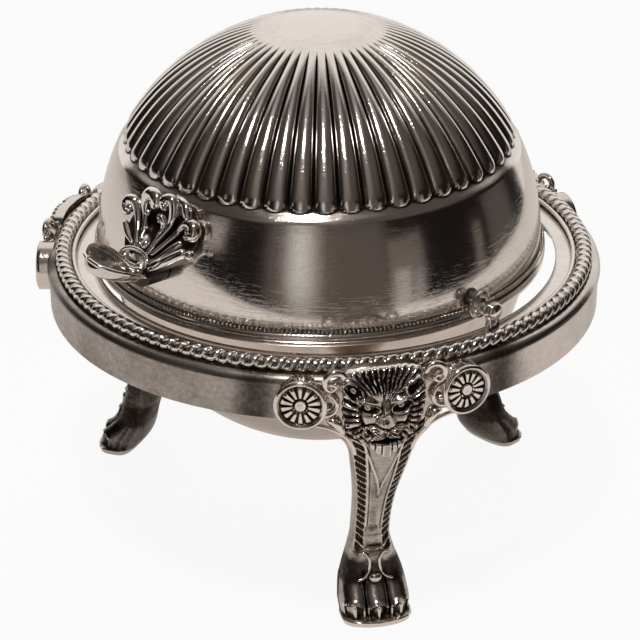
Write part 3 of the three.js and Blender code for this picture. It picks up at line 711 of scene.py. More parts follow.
@dataclass
class RingFrame(Part):
    """The ring that carries everything: band, rope border, flange and its wires.

    Attributes:
        band_radius: Outside of the band's face.
        band_base: Height of the band's lower edge.
        band_height: Height of its plain face.
        shoulder_height: Height of the moulding above the face.
        wall: Thickness of the sheet.
        ledge_width: Width of the ledge that carries the rope.
        rope_radius: Radius of the rope's ring.
        rope_thickness: Radius of the rope itself.
        strands: How many strands the rope shows round the ring.
        strand_share: The share of each turn that the strand takes, beside the thin one.
        starts: How many strands start side by side.
        flange_width: Width of the flat flange.
        flange_setback: How far its opening lies to the back.
        wire_radius: Radius of the wires along the flange.
        dome_forward: How far the pivots lie to the front.
        lug_width: Width of the pivot lugs, where the wires stop.
        leg_bearings: Bearings of the legs, beside which the band is made darker.
        front_darkening: How much darker the band is made round its front.
        leg_darkening: How much darker it is made just beside a leg.
        coat: Finish of the band.
        flange_coat: Finish of the flange and its wires.
        rope_coat: Finish of the rope.
    """

    band_radius: float = 101.5
    band_base: float = 89.0
    band_height: float = 12.3
    shoulder_height: float = 4.1
    wall: float = 1.2
    ledge_width: float = 11.0
    rope_radius: float = 96.2
    rope_thickness: float = 2.8
    strands: int = 132
    strand_share: float = 0.74
    starts: int = 2
    flange_width: float = 8.1
    flange_setback: float = 1.0
    wire_radius: float = 0.8
    dome_forward: float = 2.0
    lug_width: float = 8.0
    leg_bearings: tuple[float, ...] = (60.0, -60.0, 182.0)
    front_darkening: float = 0.44
    leg_darkening: float = 0.78
    coat: Silver = Silver(
        "ring_plate", Slot.RING, dull=(0.44, 0.36, 0.315), tarnish=0.45, patchy=0.9, gloss=0.14,
        scratches=0.7, hollow_from=0.0, hollow_to=0.9)
    flange_coat: Silver = Silver(
        "flange_plate", Slot.RING, tarnish=0.08, patchy=0.6, gloss=0.20, haze=0.14, scratches=0.6,
    )
    rope_coat: Silver = Silver(
        "rope_plate", Slot.RING, tarnish=0.40, gloss=0.14, hollow_from=0.0, hollow_to=0.34
    )

    @property
    def ledge_top(self) -> float:
        """Height of the ledge."""
        return self.band_base + self.band_height + self.shoulder_height - 1.1

    @property
    def flange_top(self) -> float:
        """Height of the flange's upper face."""
        return self.ledge_top + 1.6

    def build(self) -> None:
        """Builds every piece of the ring."""
        self.build_band()
        self.build_rope()
        self.build_flange()
        self.build_wires()

    def build_band(self) -> None:
        """Builds the band with its rounded shoulder and the ledge inside it."""
        r, low = self.band_radius, self.band_base
        face = low + self.band_height
        top = face + self.shoulder_height
        band = Shape()
        band.turn([
            (r - self.wall, low), (r, low), (r, face - 0.5), (r + 0.2, face),
            (r + 0.6, face + 0.6), (r + 0.7, face + 1.3), (r + 0.4, face + 2.2), (r - 0.3, face + 3.1),
            (r - 1.2, top - 0.25), (r - 2.4, top), (r - 3.0, top - 0.4), (r - 3.1, self.ledge_top),
            (r - self.ledge_width, self.ledge_top), (r - self.ledge_width, self.ledge_top - self.wall),
            (r - self.wall, self.ledge_top - self.wall - 0.6),
        ], ROUND)
        band.soften(0.25, 2, 40.0)
        # Darker round the front and just beside each leg, set by bearing; the ring's finish darkens the
        # band where this value is high.
        for v in band.mesh.verts:
            bearing = math.degrees(math.atan2(v.co.x, -v.co.y))
            darkening = self.front_darkening * smooth(-75, -50, bearing) * smooth(36, 30, bearing)
            for leg in self.leg_bearings:
                gap = abs((bearing - leg + 180) % 360 - 180)
                darkening = max(darkening, self.leg_darkening * bump(gap - 25.0, 6.0), 0.5 * bump(gap, 20.0))
            v[band.sunk] = darkening
        band.finish("ring-band", Body.BASE, self.coat, self.layout.ring, ["ring_band"])

    def build_rope(self) -> None:
        """Builds the rope border, whose strands wind round it."""
        z = self.ledge_top + 0.3 + self.rope_thickness

        def place(s: float, t: float) -> Vector:
            """A point on the rope, with a groove between its strands.

            Args:
                s: The share round the ring.
                t: The share round the rope.

            Returns:
                The point.
            """
            bearing = 2 * math.pi * s
            angle = 2 * math.pi * t
            phase = (self.strands * s - self.starts * t) % 1.0
            if phase < self.strand_share:
                swell = reed(2 * phase / self.strand_share - 1) ** 0.7
            else:
                thin = (phase - self.strand_share) / (1 - self.strand_share)
                swell = 0.55 * reed(2 * thin - 1) ** 0.8
            thick = self.rope_thickness * (0.64 + 0.36 * swell)
            return polar(self.rope_radius + thick * math.cos(angle), bearing, z + thick * math.sin(angle))

        rope = Shape()
        rope.sheet(self.strands * 15, 24, place)
        rope.finish(
            "ring-rope", Body.BASE, self.rope_coat, self.layout.ring, ["rope_border"], 75.0, (6, 0.32)
        )

    def build_flange(self) -> None:
        """Builds the flat flange with a rounded edge round its set-back opening."""
        edge = self.rope_radius - self.rope_thickness - 0.3
        opening = edge - self.flange_width
        flange = Shape()
        top = self.flange_top
        made = flange.turn([
            (edge, self.ledge_top + 0.3), (edge, top - 0.3), (edge - 0.3, top),
            (opening + 2.2, top), (opening + 0.5, top - 0.1), (opening, top - 0.5), (opening, top - 0.9),
            (opening + 0.5, top - 1.2), (edge - 1.2, top - 1.2), (edge - 1.2, self.ledge_top + 0.3),
        ], ROUND)
        for v in made:
            v.co.y += self.flange_setback * smooth(edge - 1.0, opening + 1.0, math.hypot(v.co.x, v.co.y))
        flange.finish("ring-flange", Body.BASE, self.flange_coat, self.layout.ring, ["ring_flange"])

    def build_wires(self) -> None:
        """Builds the two wires that run round the flange between the lugs."""
        radius = self.rope_radius - self.rope_thickness - 0.3 - self.wire_radius
        z = self.flange_top + 0.3 + self.wire_radius
        lug = math.acos(self.dome_forward / radius)
        half = (self.lug_width / 2 + 0.3 + self.wire_radius) / radius
        for side, start, end in (
            ("front", -lug + half, lug - half),
            ("back", lug + half, 2 * math.pi - lug - half),
        ):
            line = Curve(polar(radius, mix(start, end, i / 60), z) for i in range(61))
            wire = Shape()
            wire.bar(line, lambda t: self.wire_radius, 12, 160)
            wire.finish(
                f"ring-wire-{side}", Body.BASE, self.flange_coat, self.layout.ring, [f"flange_wire_{side}"],
                60.0,
            )


@dataclass
class Dome(Part):
    """The fluted dome with its moulded rim and beading.

    Attributes:
        radius: Outside radius.
        wall: Thickness of the sheet.
        skirt: How far it reaches below the pivot axis.
        flutes: How many reeds are pressed into it.
        depth: How deep the grooves between them are.
        start: Latitude of their round lower ends.
        end: Latitude where they run out.
        rim_thickness: Thickness of the moulded rim.
        rim_height: Height of the moulded rim.
        rim_lip: How far the rim turns in below the dome.
        bead: Radius of a bead.
        beads: How many beads there are all round.
        coat: Finish of the shell and the rim.
        bead_coat: Finish of the beads.
    """

    radius: float = 81.3
    wall: float = 1.2
    skirt: float = 5.1
    flutes: int = 50
    depth: float = 2.2
    start: float = 28.4
    end: float = 76.0
    rim_thickness: float = 1.4
    rim_height: float = 4.0
    rim_lip: float = 1.4
    bead: float = 0.8
    beads: int = 330
    coat: Silver = Silver(
        "dome_plate", Slot.DOME, tarnish=0.16, patchy=0.55, gloss=0.11, haze=0.16, scratches=0.7,
        hollow_from=0.09, hollow_to=0.45,
    )
    bead_coat: Silver = Silver(
        "bead_plate", Slot.DOME, dull=(0.16, 0.13, 0.11), tarnish=0.9, patchy=0.5, rubbing=1.3, gloss=0.10,
        hollow_from=0.0, hollow_to=0.35)

    def radius_at(self, lat: float, bearing: float) -> float:
        """Outside radius with the reeds pressed in.

        Args:
            lat: Latitude in degrees.
            bearing: Bearing in degrees.

        Returns:
            The radius.
        """
        step = 360 / self.flutes
        dip = self.depth * smooth(self.start - 2.8, self.start + 0.6, lat)
        dip *= 0.62 + 0.38 * smooth(self.start - 1, self.start + 7, lat)
        dip *= 1 - smooth(self.end - 13, self.end + 0.5, lat)
        across = 2 * abs(bearing / step - round(bearing / step))
        half = self.radius * math.cos(math.radians(lat)) * math.radians(step / 2)
        from_end = self.radius * math.radians(lat - self.start)
        round_end = 1.0 if from_end < 0 else max(0.0, 1 - from_end / max(half, 1e-6))
        return self.radius - dip * (1 - math.sqrt(max(0.0, 1 - across**2 - round_end**2)))

    def build(self) -> None:
        """Builds every piece of the dome."""
        self.build_shell()
        self.build_rim()
        self.build_beading()

    def build_shell(self) -> None:
        """Builds the shell, its fluted outside and its smooth inside in one closed skin."""
        low = math.degrees(math.asin(-self.skirt / self.radius))
        plain = self.radius - self.wall
        inside = self.radius - self.depth - 0.7
        outer = [low + (self.start - 5 - low) * i / 14 for i in range(15)]
        outer += [self.start - 5 + 0.35 * i for i in range(1, 34)]
        outer += [outer[-1] + (self.end - 5 - outer[-1]) * i / 20 for i in range(1, 21)]
        outer += [self.end - 5 + 0.7 * i for i in range(1, 12)]
        outer += [outer[-1] + (90 - outer[-1]) * i / 6 for i in range(1, 7)]
        inner = [low + (90 - low) * i / 14 for i in range(15)][::-1]
        per_flute = 12
        columns = self.flutes * per_flute

        def place(s: float, t: float) -> Vector:
            """A point on the outside, or on the inside past the crown.

            Args:
                s: The share round the dome.
                t: The share over it and down inside.

            Returns:
                The point.
            """
            column = round(s * columns)
            reed_at, part = divmod(column, per_flute)
            crowd = -math.cos(math.pi * part / per_flute)
            bearing = (reed_at + 0.5 + crowd / 2) * 360 / self.flutes
            row = round(t * (len(outer) + len(inner) - 1))
            if row < len(outer):
                lat = outer[row]
                return on_sphere(self.radius_at(lat, bearing), lat, bearing)
            lat = inner[row - len(outer)]
            thick = mix(plain, inside, smooth(self.start - 12, self.start - 3, lat))
            return on_sphere(mix(thick, plain, smooth(self.end, self.end + 6, lat)), lat, bearing)

        shell = Shape()
        shell.sheet(columns, len(outer) + len(inner) - 1, place)
        edges = [e for e in shell.mesh.edges if e.is_boundary]
        bmesh.ops.bridge_loops(shell.mesh, edges=edges)
        shell.finish("dome-shell", Body.DOME, self.coat, self.layout.pivot, ["dome_shell"], 60.0, (5, 0.30))

    def build_rim(self) -> None:
        """Builds the moulded rim drawn over the dome's edge."""
        inner = self.radius + 0.3
        outer = inner + self.rim_thickness
        low = -self.skirt - 0.3
        top = low + self.rim_height - 0.4
        rim = Shape()
        rim.turn([
            (inner, low), (inner - self.rim_lip, low), (inner - self.rim_lip, low - 0.6),
            (inner - self.rim_lip + 0.2, low - 0.8), (outer - 0.7, low - 0.8), (outer - 0.2, low - 0.5),
            (outer, low + 0.2), (outer, low + 0.9), (outer - 0.35, low + 1.2), (outer - 0.35, low + 1.5),
            (outer, low + 1.9), (outer, top - 1.1), (outer - 0.3, top - 0.5), (outer - 0.9, top),
            (inner, top),
        ], ROUND)
        rim.finish("dome-rim", Body.DOME, self.coat, self.layout.pivot, ["dome_rim"], 35.0)

    def build_beading(self) -> None:
        """Builds the two runs of small beads above the rim, which stop at the pins."""
        radius = self.radius + 0.3 + self.bead
        z = -self.skirt - 0.3 + self.rim_height - 0.4 + 0.3 + self.bead
        clear = 2.3 / radius
        for side, middle in (("front", 0.0), ("back", math.pi)):
            run = Shape()
            count = self.beads // 2
            reach = math.pi / 2 - clear
            for i in range(count):
                bearing = middle + mix(-reach, reach, (i + 0.5) / count)
                run.ball(polar(radius - 0.2, bearing, z - 0.15), (0.78 * self.bead,) * 3, 8)
            line = Curve(
                polar(radius - 0.35, middle + mix(-reach, reach, i / 40), z - 0.3) for i in range(41)
            )
            run.bar(line, lambda t: 0.40, 6, 90)
            run.darken(3, 0.35)
            run.finish(
                f"dome-beading-{side}", Body.DOME, self.bead_coat, self.layout.pivot,
                [f"dome_beading_{side}"], 80.0,
            )


@dataclass
class Handle(Part):
    """The cast handle: scroll ribs fanned over a leaf, an oval hollow and a spoon for the thumb.

    Attributes:
        dome_radius: Outside radius of the dome that it is soldered to.
        leaf_radius: Radius that the leaf is laid out on.
        base_lat: Latitude of its foot.
        bearing: Bearing of its middle.
        foot_lift: How far its foot stands off the dome.
        ribs: Each rib's points across and up the leaf, with its thickness at the foot, the
            head and the end.
        beads: Small balls across and up the leaf, with their radius.
        spoon: Half the spoon's width, its place outwards and its height, from the dome's centre.
        spoon_side: How far the spoon lies beside the middle.
        spoon_roll: How much the spoon leans to its near side, in degrees.
        spoon_depth: How hollow it is.
        coat: Its finish.
    """

    dome_radius: float = 81.6
    leaf_radius: float = 81.3
    base_lat: float = 8.0
    bearing: float = 5.0
    foot_lift: float = 8.0
    ribs: tuple[tuple[tuple[tuple[float, float], ...], float, float, float], ...] = (
        ((
            (-5, 8), (-7, 10.5), (-8.8, 13), (-11.2, 16.4), (-13.3, 19.3), (-14.8, 20.2), (-16.6, 19.6),
            (-17.4, 17.8), (-16.4, 16.2), (-15, 16.6),
        ), 0.7, 1.75, 1.3),
        (((-6.7, 8.2), (-10.5, 10.2), (-14.5, 13.2)), 0.6, 1.0, 1.1),
        ((
            (-3.6, 8), (-5.2, 12), (-7.6, 17), (-8.9, 20.5), (-8.6, 23.3), (-6.8, 25.0), (-4.6, 25.2),
            (-2.9, 24.2), (-2.9, 22.6), (-4.2, 21.9),
        ), 0.7, 2.2, 1.6),
        ((
            (1.1, 7.0), (1.5, 10.5), (2.6, 13.5), (4.2, 17.5), (4.9, 21), (4.6, 24), (3.2, 25.8),
            (1.4, 25.6), (0.5, 24.2), (1.2, 23.0), (2.2, 23.2),
        ), 0.8, 1.7, 1.2),
        ((
            (2.6, 7.3), (4.9, 10.6), (7.7, 15.3), (9.5, 17.8), (11.5, 19.6), (13.6, 19.9), (15.0, 18.7),
            (15.0, 17.0), (13.7, 16.0), (12.3, 16.6),
        ), 0.7, 1.9, 1.3),
        (((3.1, 4.7), (6.8, 8.0), (10, 11.4), (12.4, 14.0)), 0.7, 1.0, 1.0),
        (((3.9, 3.3), (6.8, 4.9), (9.1, 7.0), (12.8, 9.9), (15.5, 11.6)), 0.8, 1.4, 1.6),
        (((0.9, 12.5), (1.6, 15.5), (2.0, 18.0), (1.0, 19.3), (-0.2, 18.7)), 0.6, 1.1, 1.2),
        (((-3.6, 9), (-3.4, 10.9), (-1.8, 11.6), (-0.6, 10.4), (-0.7, 8.6)), 0.8, 1.0, 1.0),
        (((-5.8, 12), (-5.2, 14), (-3.2, 14.6)), 0.4, 0.4, 0.4),
        (((3.4, 27.6), (4.7, 26.8), (6.5, 26.6), (9.1, 25.5), (10.9, 22.9), (11.6, 20.9)), 1.0, 1.3, 1.0),
    )
    beads: tuple[tuple[float, float, float], ...] = (
        (-15.2, 17.4, 1.6), (-4.3, 23.0, 1.7), (1.9, 24.3, 1.3), (13.2, 17.5, 1.6), (16.9, 10.8, 1.9),
        (-5.7, 18.9, 1.3), (0.6, 18.0, 1.0), (-1.9, 9.7, 0.9),
    )
    spoon: tuple[tuple[float, float, float], ...] = (
        (1.8, -88.6, 13.4), (5.0, -90.6, 15.0), (8.5, -93.6, 18.0), (10.0, -98.1, 20.8),
        (9.8, -102.6, 22.8), (8.0, -106.6, 24.2), (5.0, -109.3, 25.0), (0.0, -110.4, 25.3),
    )
    spoon_side: float = 7.0
    spoon_roll: float = 13.0
    spoon_depth: float = 5.0
    coat: Silver = Silver(
        "handle_cast", Slot.CAST, bright=(0.86, 0.82, 0.78), dull=(0.25, 0.22, 0.20), tarnish=0.30,
        patchy=0.5, rubbing=1.2, gloss=0.08, haze=0.10, scratches=0.2, pits=0.15, hollow_from=0.06,
        hollow_to=0.5,
    )

    def on_leaf(self, across: float, up: float, stand: float, lift: float = 1.0) -> Vector:
        """A point measured across and up the dome from the handle's foot.

        Args:
            across: Millimetres across.
            up: Millimetres up.
            stand: Height above the leaf.
            lift: The share of the foot's lift that it takes.

        Returns:
            The point, from the dome's centre.
        """
        per_degree = self.leaf_radius * math.radians(1)
        lat = self.base_lat + up / per_degree
        bearing = self.bearing + across / (per_degree * math.cos(math.radians(lat)))
        raised = self.foot_lift * (1 - smooth(0, 18, up)) * lift
        return on_sphere(self.dome_radius + stand + raised, lat, bearing)

    def build(self) -> None:
        """Builds the whole casting."""
        casting = Shape()
        self.add_leaf(casting)
        for points, foot, head, end in self.ribs:
            self.add_rib(casting, points, foot, head, end)
        for across, up, radius in self.beads:
            casting.ball(self.on_leaf(across, up, 3.9), (radius,) * 3, 14)
        self.add_hollow(casting)
        self.add_spoon(casting)
        casting.finish("dome-handle", Body.DOME, self.coat, self.layout.pivot, ["handle"], 60.0, (4, 0.35))

    def add_leaf(self, casting: Shape) -> None:
        """Adds the leaf behind the ribs, dark between them, with the web that joins it to the dome.

        Args:
            casting: The casting in the making.
        """

        def place(s: float, t: float) -> Vector:
            """A point from the middle of the face out and round to the back.

            Args:
                s: The share round the leaf.
                t: The share of the way.

            Returns:
                The point.
            """
            angle = math.pi * (2 * s - 1)
            fan = 5.0 + 15.5 * smooth(82, 48, abs(math.degrees(angle)))
            fan += 0.5 * math.cos(9 * angle) * smooth(70, 50, abs(math.degrees(angle)))
            out = min(1.0, t / 0.8) if t < 0.9 else (1 - t) / 0.1
            across, up = out * fan * math.sin(angle), 1.5 + out * fan * math.cos(angle)
            if t < 0.85:
                return self.on_leaf(across, up, mix(1.8, 1.2, out))
            return self.on_leaf(across, up, 0.1, 0.0)

        leaf = casting.sheet(110, 24, place)
        for v in leaf:
            v[casting.sunk] = 0.9

    def add_rib(
        self, casting: Shape, points: Sequence[tuple[float, float]], foot: float, head: float, end: float
    ) -> None:
        """Adds a rib that swells towards its head.

        Args:
            casting: The casting in the making.
            points: Its line across and up the leaf.
            foot: Its thickness at the foot.
            head: Its thickness where it turns.
            end: Its thickness at the end.
        """
        last = len(points) - 1
        line = Curve(
            self.on_leaf(a, u, 2.6 + 1.5 * smooth(0.2, 0.8, i / last)) for i, (a, u) in enumerate(points)
        )
        casting.bar(
            line,
            lambda t: 1.15 * mix(mix(foot, 1.1 * head, smooth(0.1, 0.6, t)), end, smooth(0.75, 1.0, t)), 14,
            54,
        )

    def add_hollow(self, casting: Shape) -> None:
        """Adds the oval hollow at the foot of the ribs, with its bright rim.

        Args:
            casting: The casting in the making.
        """
        middle, wide, high = (-3.1, 4.8), 6.0, 2.8
        turns = [2 * math.pi * i / 32 for i in range(33)]
        rim = Curve(
            self.on_leaf(middle[0] + wide * math.cos(a), middle[1] + high * math.sin(a), 3.0) for a in turns
        )
        casting.bar(rim, lambda t: 0.75, 10, 60)
        floor = Curve(
            self.on_leaf(middle[0] + wide * 0.8 * k, middle[1], 1.3) for k in (-1.0, -0.5, 0.0, 0.5, 1.0)
        )
        casting.bar(floor, lambda t: 2.4, 16, 30, self.on_leaf(middle[0], middle[1], 0.0), 0.35)
        skirt = Curve(
            self.on_leaf(
                middle[0] + (wide - 0.6) * math.cos(a), middle[1] + (high - 0.6) * math.sin(a), 1.7
            )
            for a in turns
        )
        casting.bar(skirt, lambda t: 0.8, 8, 50)

    def add_spoon(self, casting: Shape) -> None:
        """Adds the spoon: hollow above, round below, with a rounded lip.

        Args:
            casting: The casting in the making.
        """
        rim = Curve(self.spoon)
        roll = math.radians(self.spoon_roll)
        down = Vector((0.0, -0.475, -0.88))

        def at(side: float, share: float, deep: float) -> Vector:
            """A point across the spoon, at a share of its length and a depth.

            Args:
                side: From -1 to 1 across.
                share: The share along it.
                deep: How deep the point lies.

            Returns:
                The point.
            """
            half, y, z = rim.at(share)
            over = half * side * (1.0 if side > 0 else 1.0 - 0.35 * smooth(0.45, 0.9, share))
            spot = Vector((self.spoon_side + over * math.cos(roll), y, z - over * math.sin(roll)))
            return spot + down * (deep * (max(0.0, half) / 10) ** 0.8)

        def place(s: float, t: float) -> Vector:
            """A point round the spoon's section.

            Args:
                s: The share round it.
                t: The share along the spoon.

            Returns:
                The point.
            """
            angle = 2 * math.pi * s
            side = math.cos(angle)
            deep = self.spoon_depth if angle <= math.pi else self.spoon_depth + 1.5
            return at(side, t, deep * max(0.0, 1 - side * side) ** 0.8)

        casting.sheet(44, 40, place)
        for side in (-1.0, 1.0):
            edge = Curve(at(side, i / 24, 0.0) for i in range(25))
            casting.bar(edge, lambda t: mix(0.95, 0.75, t), 10, 60)
        stalk = Curve([
            at(0.0, 0.22, 3.2), at(0.0, 0.0, 1.0), self.on_leaf(-0.5, 2.0, 1.0),
            self.on_leaf(-0.5, 4.0, 0.0),
        ])
        casting.bar(stalk, lambda t: 2.2, 14, 20)


@dataclass
class Bowl(Part):
    """The fixed bowl and its moulded rim.

    Attributes:
        radius: Outside radius at the pivot axis.
        depth: Outside depth below the axis.
        wall: Thickness of the sheet.
        wall_rise: Height of its edge above the axis.
        rim_rise: Height of the moulded rim.
        lip: How far the rim reaches in.
        coat: Its finish.
    """

    radius: float = 77.2
    depth: float = 77.7
    wall: float = 1.2
    wall_rise: float = 2.7
    rim_rise: float = 5.2
    lip: float = 2.2
    coat: Silver = Silver(
        "bowl_plate", Slot.BOWL, bright=(0.82, 0.73, 0.665), tarnish=0.36, patchy=0.9, gloss=0.15,
        scratches=0.5,
    )

    def arc(self, inset: float, steps: int) -> list[tuple[float, float]]:
        """The section from the lowest point up to the pivot axis, this far inside the outer face."""
        angles = [math.pi / 2 * (1 - i / steps) for i in range(steps + 1)]
        return [((self.radius - inset) * math.cos(a), -(self.depth - inset) * math.sin(a)) for a in angles]

    def build(self) -> None:
        """Builds the bowl and the rim."""
        bowl = Shape()
        bowl.turn(
            [*self.arc(0.0, 36), (self.radius, self.wall_rise), (self.radius - self.wall, self.wall_rise),
             *reversed(self.arc(self.wall, 24))],
            BOWL_ROUND, closed=False,
        )
        bowl.finish("bowl-shell", Body.BASE, self.coat, self.layout.pivot, ["bowl"])
        inner = self.radius - self.wall
        low = self.wall_rise + 0.3
        rim = Shape()
        rim.turn([
            (self.radius - 0.2, low), (self.radius - 0.2, self.rim_rise - 1.2),
            (self.radius - 0.9, self.rim_rise), (inner - self.lip + 0.6, self.rim_rise),
            (inner - self.lip, self.rim_rise - 1.0), (inner, low),
        ], BOWL_ROUND)
        rim.soften(0.3, 3, 20.0)
        rim.finish("bowl-rim", Body.BASE, self.coat, self.layout.pivot, ["bowl_rim"])


@dataclass
class Pivots(Part):
    """The two pivots that the dome turns on and that hold the bowl.

    Attributes:
        pin_radius: Radius of a pin.
        pin_start: Where a pin starts, from the middle.
        pin_end: Where it ends.
        collar_at: Where the collar starts.
        collar_radius: Radius of the collar.
        collar_thickness: Thickness of the collar.
        sleeve_radius: Radius of the sleeve between the collar and the lug.
        sleeve_end: Where the sleeve ends.
        nut_at: Where the nut starts.
        nut_radius: Radius of the nut over its corners.
        nut_thickness: Thickness of the nut.
        lug_at: Where the lug starts.
        lug_thickness: Thickness of the lug.
        lug_width: Width of the lug.
        cap_radius: Radius of the cap over the pin's end.
        cap_end: Where the cap ends.
        lug_foot: Height of its foot from the axis.
        coat: Finish of them all.
    """

    pin_radius: float = 1.2
    pin_start: float = 72.6
    pin_end: float = 91.0
    collar_at: float = 83.5
    collar_radius: float = 4.9
    collar_thickness: float = 1.2
    sleeve_radius: float = 2.6
    sleeve_end: float = 88.8
    nut_at: float = 73.55
    nut_radius: float = 3.1
    nut_thickness: float = 2.0
    lug_at: float = 89.1
    lug_thickness: float = 2.2
    lug_width: float = 5.4
    cap_radius: float = 3.3
    cap_end: float = 93.1
    lug_foot: float = -7.8
    coat: Silver = Silver(
        "pivot_plate", Slot.PIVOT, bright=(0.90, 0.87, 0.84), tarnish=0.08, patchy=0.4, gloss=0.07,
        scratches=0.2,
    )

    def build(self) -> None:
        """Builds both pivots."""
        for side, turn in (("right", 0.0), ("left", math.pi)):
            upright = self.layout.pivot @ Matrix.Rotation(turn, 4, "Z")
            lying = upright @ Matrix.Rotation(math.pi / 2, 4, "Y")
            self.build_turned(side, lying)
            self.build_nut(side, lying)
            self.build_lug(side, upright)

    def build_turned(self, side: str, spot: Matrix) -> None:
        """Builds the pin with its rounded ends, and the collar round it.

        Args:
            side: Which pivot it is.
            spot: Moves it to its place.
        """
        r = self.pin_radius
        pin = Shape()
        pin.turn([
            (0, self.pin_start), (r * 0.6, self.pin_start + 0.1), (r, self.pin_start + 0.6),
            (r, self.pin_end - 0.6), (r * 0.7, self.pin_end - 0.12), (0, self.pin_end),
        ], 32, closed=False)
        pin.finish(f"pivot-pin-{side}", Body.BASE, self.coat, spot, [f"pivot_pin_{side}"])
        bore, out = r + 0.3, self.collar_radius
        start, end = self.collar_at, self.collar_at + self.collar_thickness
        collar = Shape()
        collar.turn([
            (bore, start), (out - 0.6, start), (out - 0.15, start + 0.2), (out, start + 0.5),
            (out - 0.1, end - 0.3), (out - 0.45, end), (out - 0.9, end - 0.25), (out - 1.6, end - 0.35),
            (self.sleeve_radius + 0.4, end - 0.3), (self.sleeve_radius, end + 0.1),
            (self.sleeve_radius, self.sleeve_end - 0.5), (self.sleeve_radius - 0.3, self.sleeve_end - 0.1),
            (bore, self.sleeve_end),
        ], 48)
        collar.finish(f"pivot-collar-{side}", Body.BASE, self.coat, spot, [f"pivot_collar_{side}"], 35.0)

    def build_nut(self, side: str, spot: Matrix) -> None:
        """Builds the six-sided nut inside the bowl.

        Args:
            side: Which pivot it is.
            spot: Moves it to its place.
        """
        bore = self.pin_radius + 0.3
        nut = Shape()
        nut.turn([
            (bore, self.nut_at), (self.nut_radius, self.nut_at),
            (self.nut_radius, self.nut_at + self.nut_thickness), (bore, self.nut_at + self.nut_thickness),
        ], 6)
        nut.soften(0.25, 2, 30.0)
        nut.finish(f"pivot-nut-{side}", Body.BASE, self.coat, spot, [f"pivot_nut_{side}"], 25.0)

    def build_lug(self, side: str, spot: Matrix) -> None:
        """Builds the lug: a strap with a round head, and a domed cap over the pin's end.

        Args:
            side: Which pivot it is.
            spot: Moves it to its place.
        """
        half, r = self.lug_width / 2, self.cap_radius + 0.3
        spread = math.asin(half / r)
        head = [
            (r * math.sin(a), r * math.cos(a))
            for a in (mix(math.pi - spread, spread - math.pi, i / 36) for i in range(37))
        ]
        outline = [(-half, self.lug_foot), (half, self.lug_foot), *head]
        bore = self.pin_radius + 0.3
        hole = [(bore * math.cos(a), bore * math.sin(a)) for a in (2 * math.pi * i / 24 for i in range(24))]
        lug = Shape()
        edges = []
        for loop in (outline, hole):
            verts = [lug.mesh.verts.new((self.lug_at, y, z)) for y, z in loop]
            edges += [lug.mesh.edges.new(pair) for pair in zip(verts, verts[1:] + verts[:1])]
        face = bmesh.ops.triangle_fill(
            lug.mesh, use_beauty=True, use_dissolve=False, edges=edges, normal=(1, 0, 0)
        )
        faces = [g for g in face["geom"] if isinstance(g, bmesh.types.BMFace)]
        raised = bmesh.ops.extrude_face_region(lug.mesh, geom=faces, use_keep_orig=True)["geom"]
        lug.move(
            [g for g in raised if isinstance(g, bmesh.types.BMVert)],
            Matrix.Translation((self.lug_thickness, 0, 0)),
        )
        bmesh.ops.recalc_face_normals(lug.mesh, faces=lug.mesh.faces)
        lug.soften(0.35, 3, 50.0)
        start, end, r = self.lug_at + self.lug_thickness, self.cap_end, self.cap_radius
        cap = lug.turn([
            (0, start - 0.1), (r, start - 0.1), (r, start + 0.3), (r - 0.4, start + 0.9),
            (r - 1.2, end - 0.35), (r - 2.1, end - 0.08), (0, end),
        ], 32, closed=False)
        lug.move(cap, Matrix.Rotation(math.pi / 2, 4, "Y"))
        lug.finish(f"pivot-lug-{side}", Body.BASE, self.coat, spot, [f"pivot_lug_{side}"], 40.0)


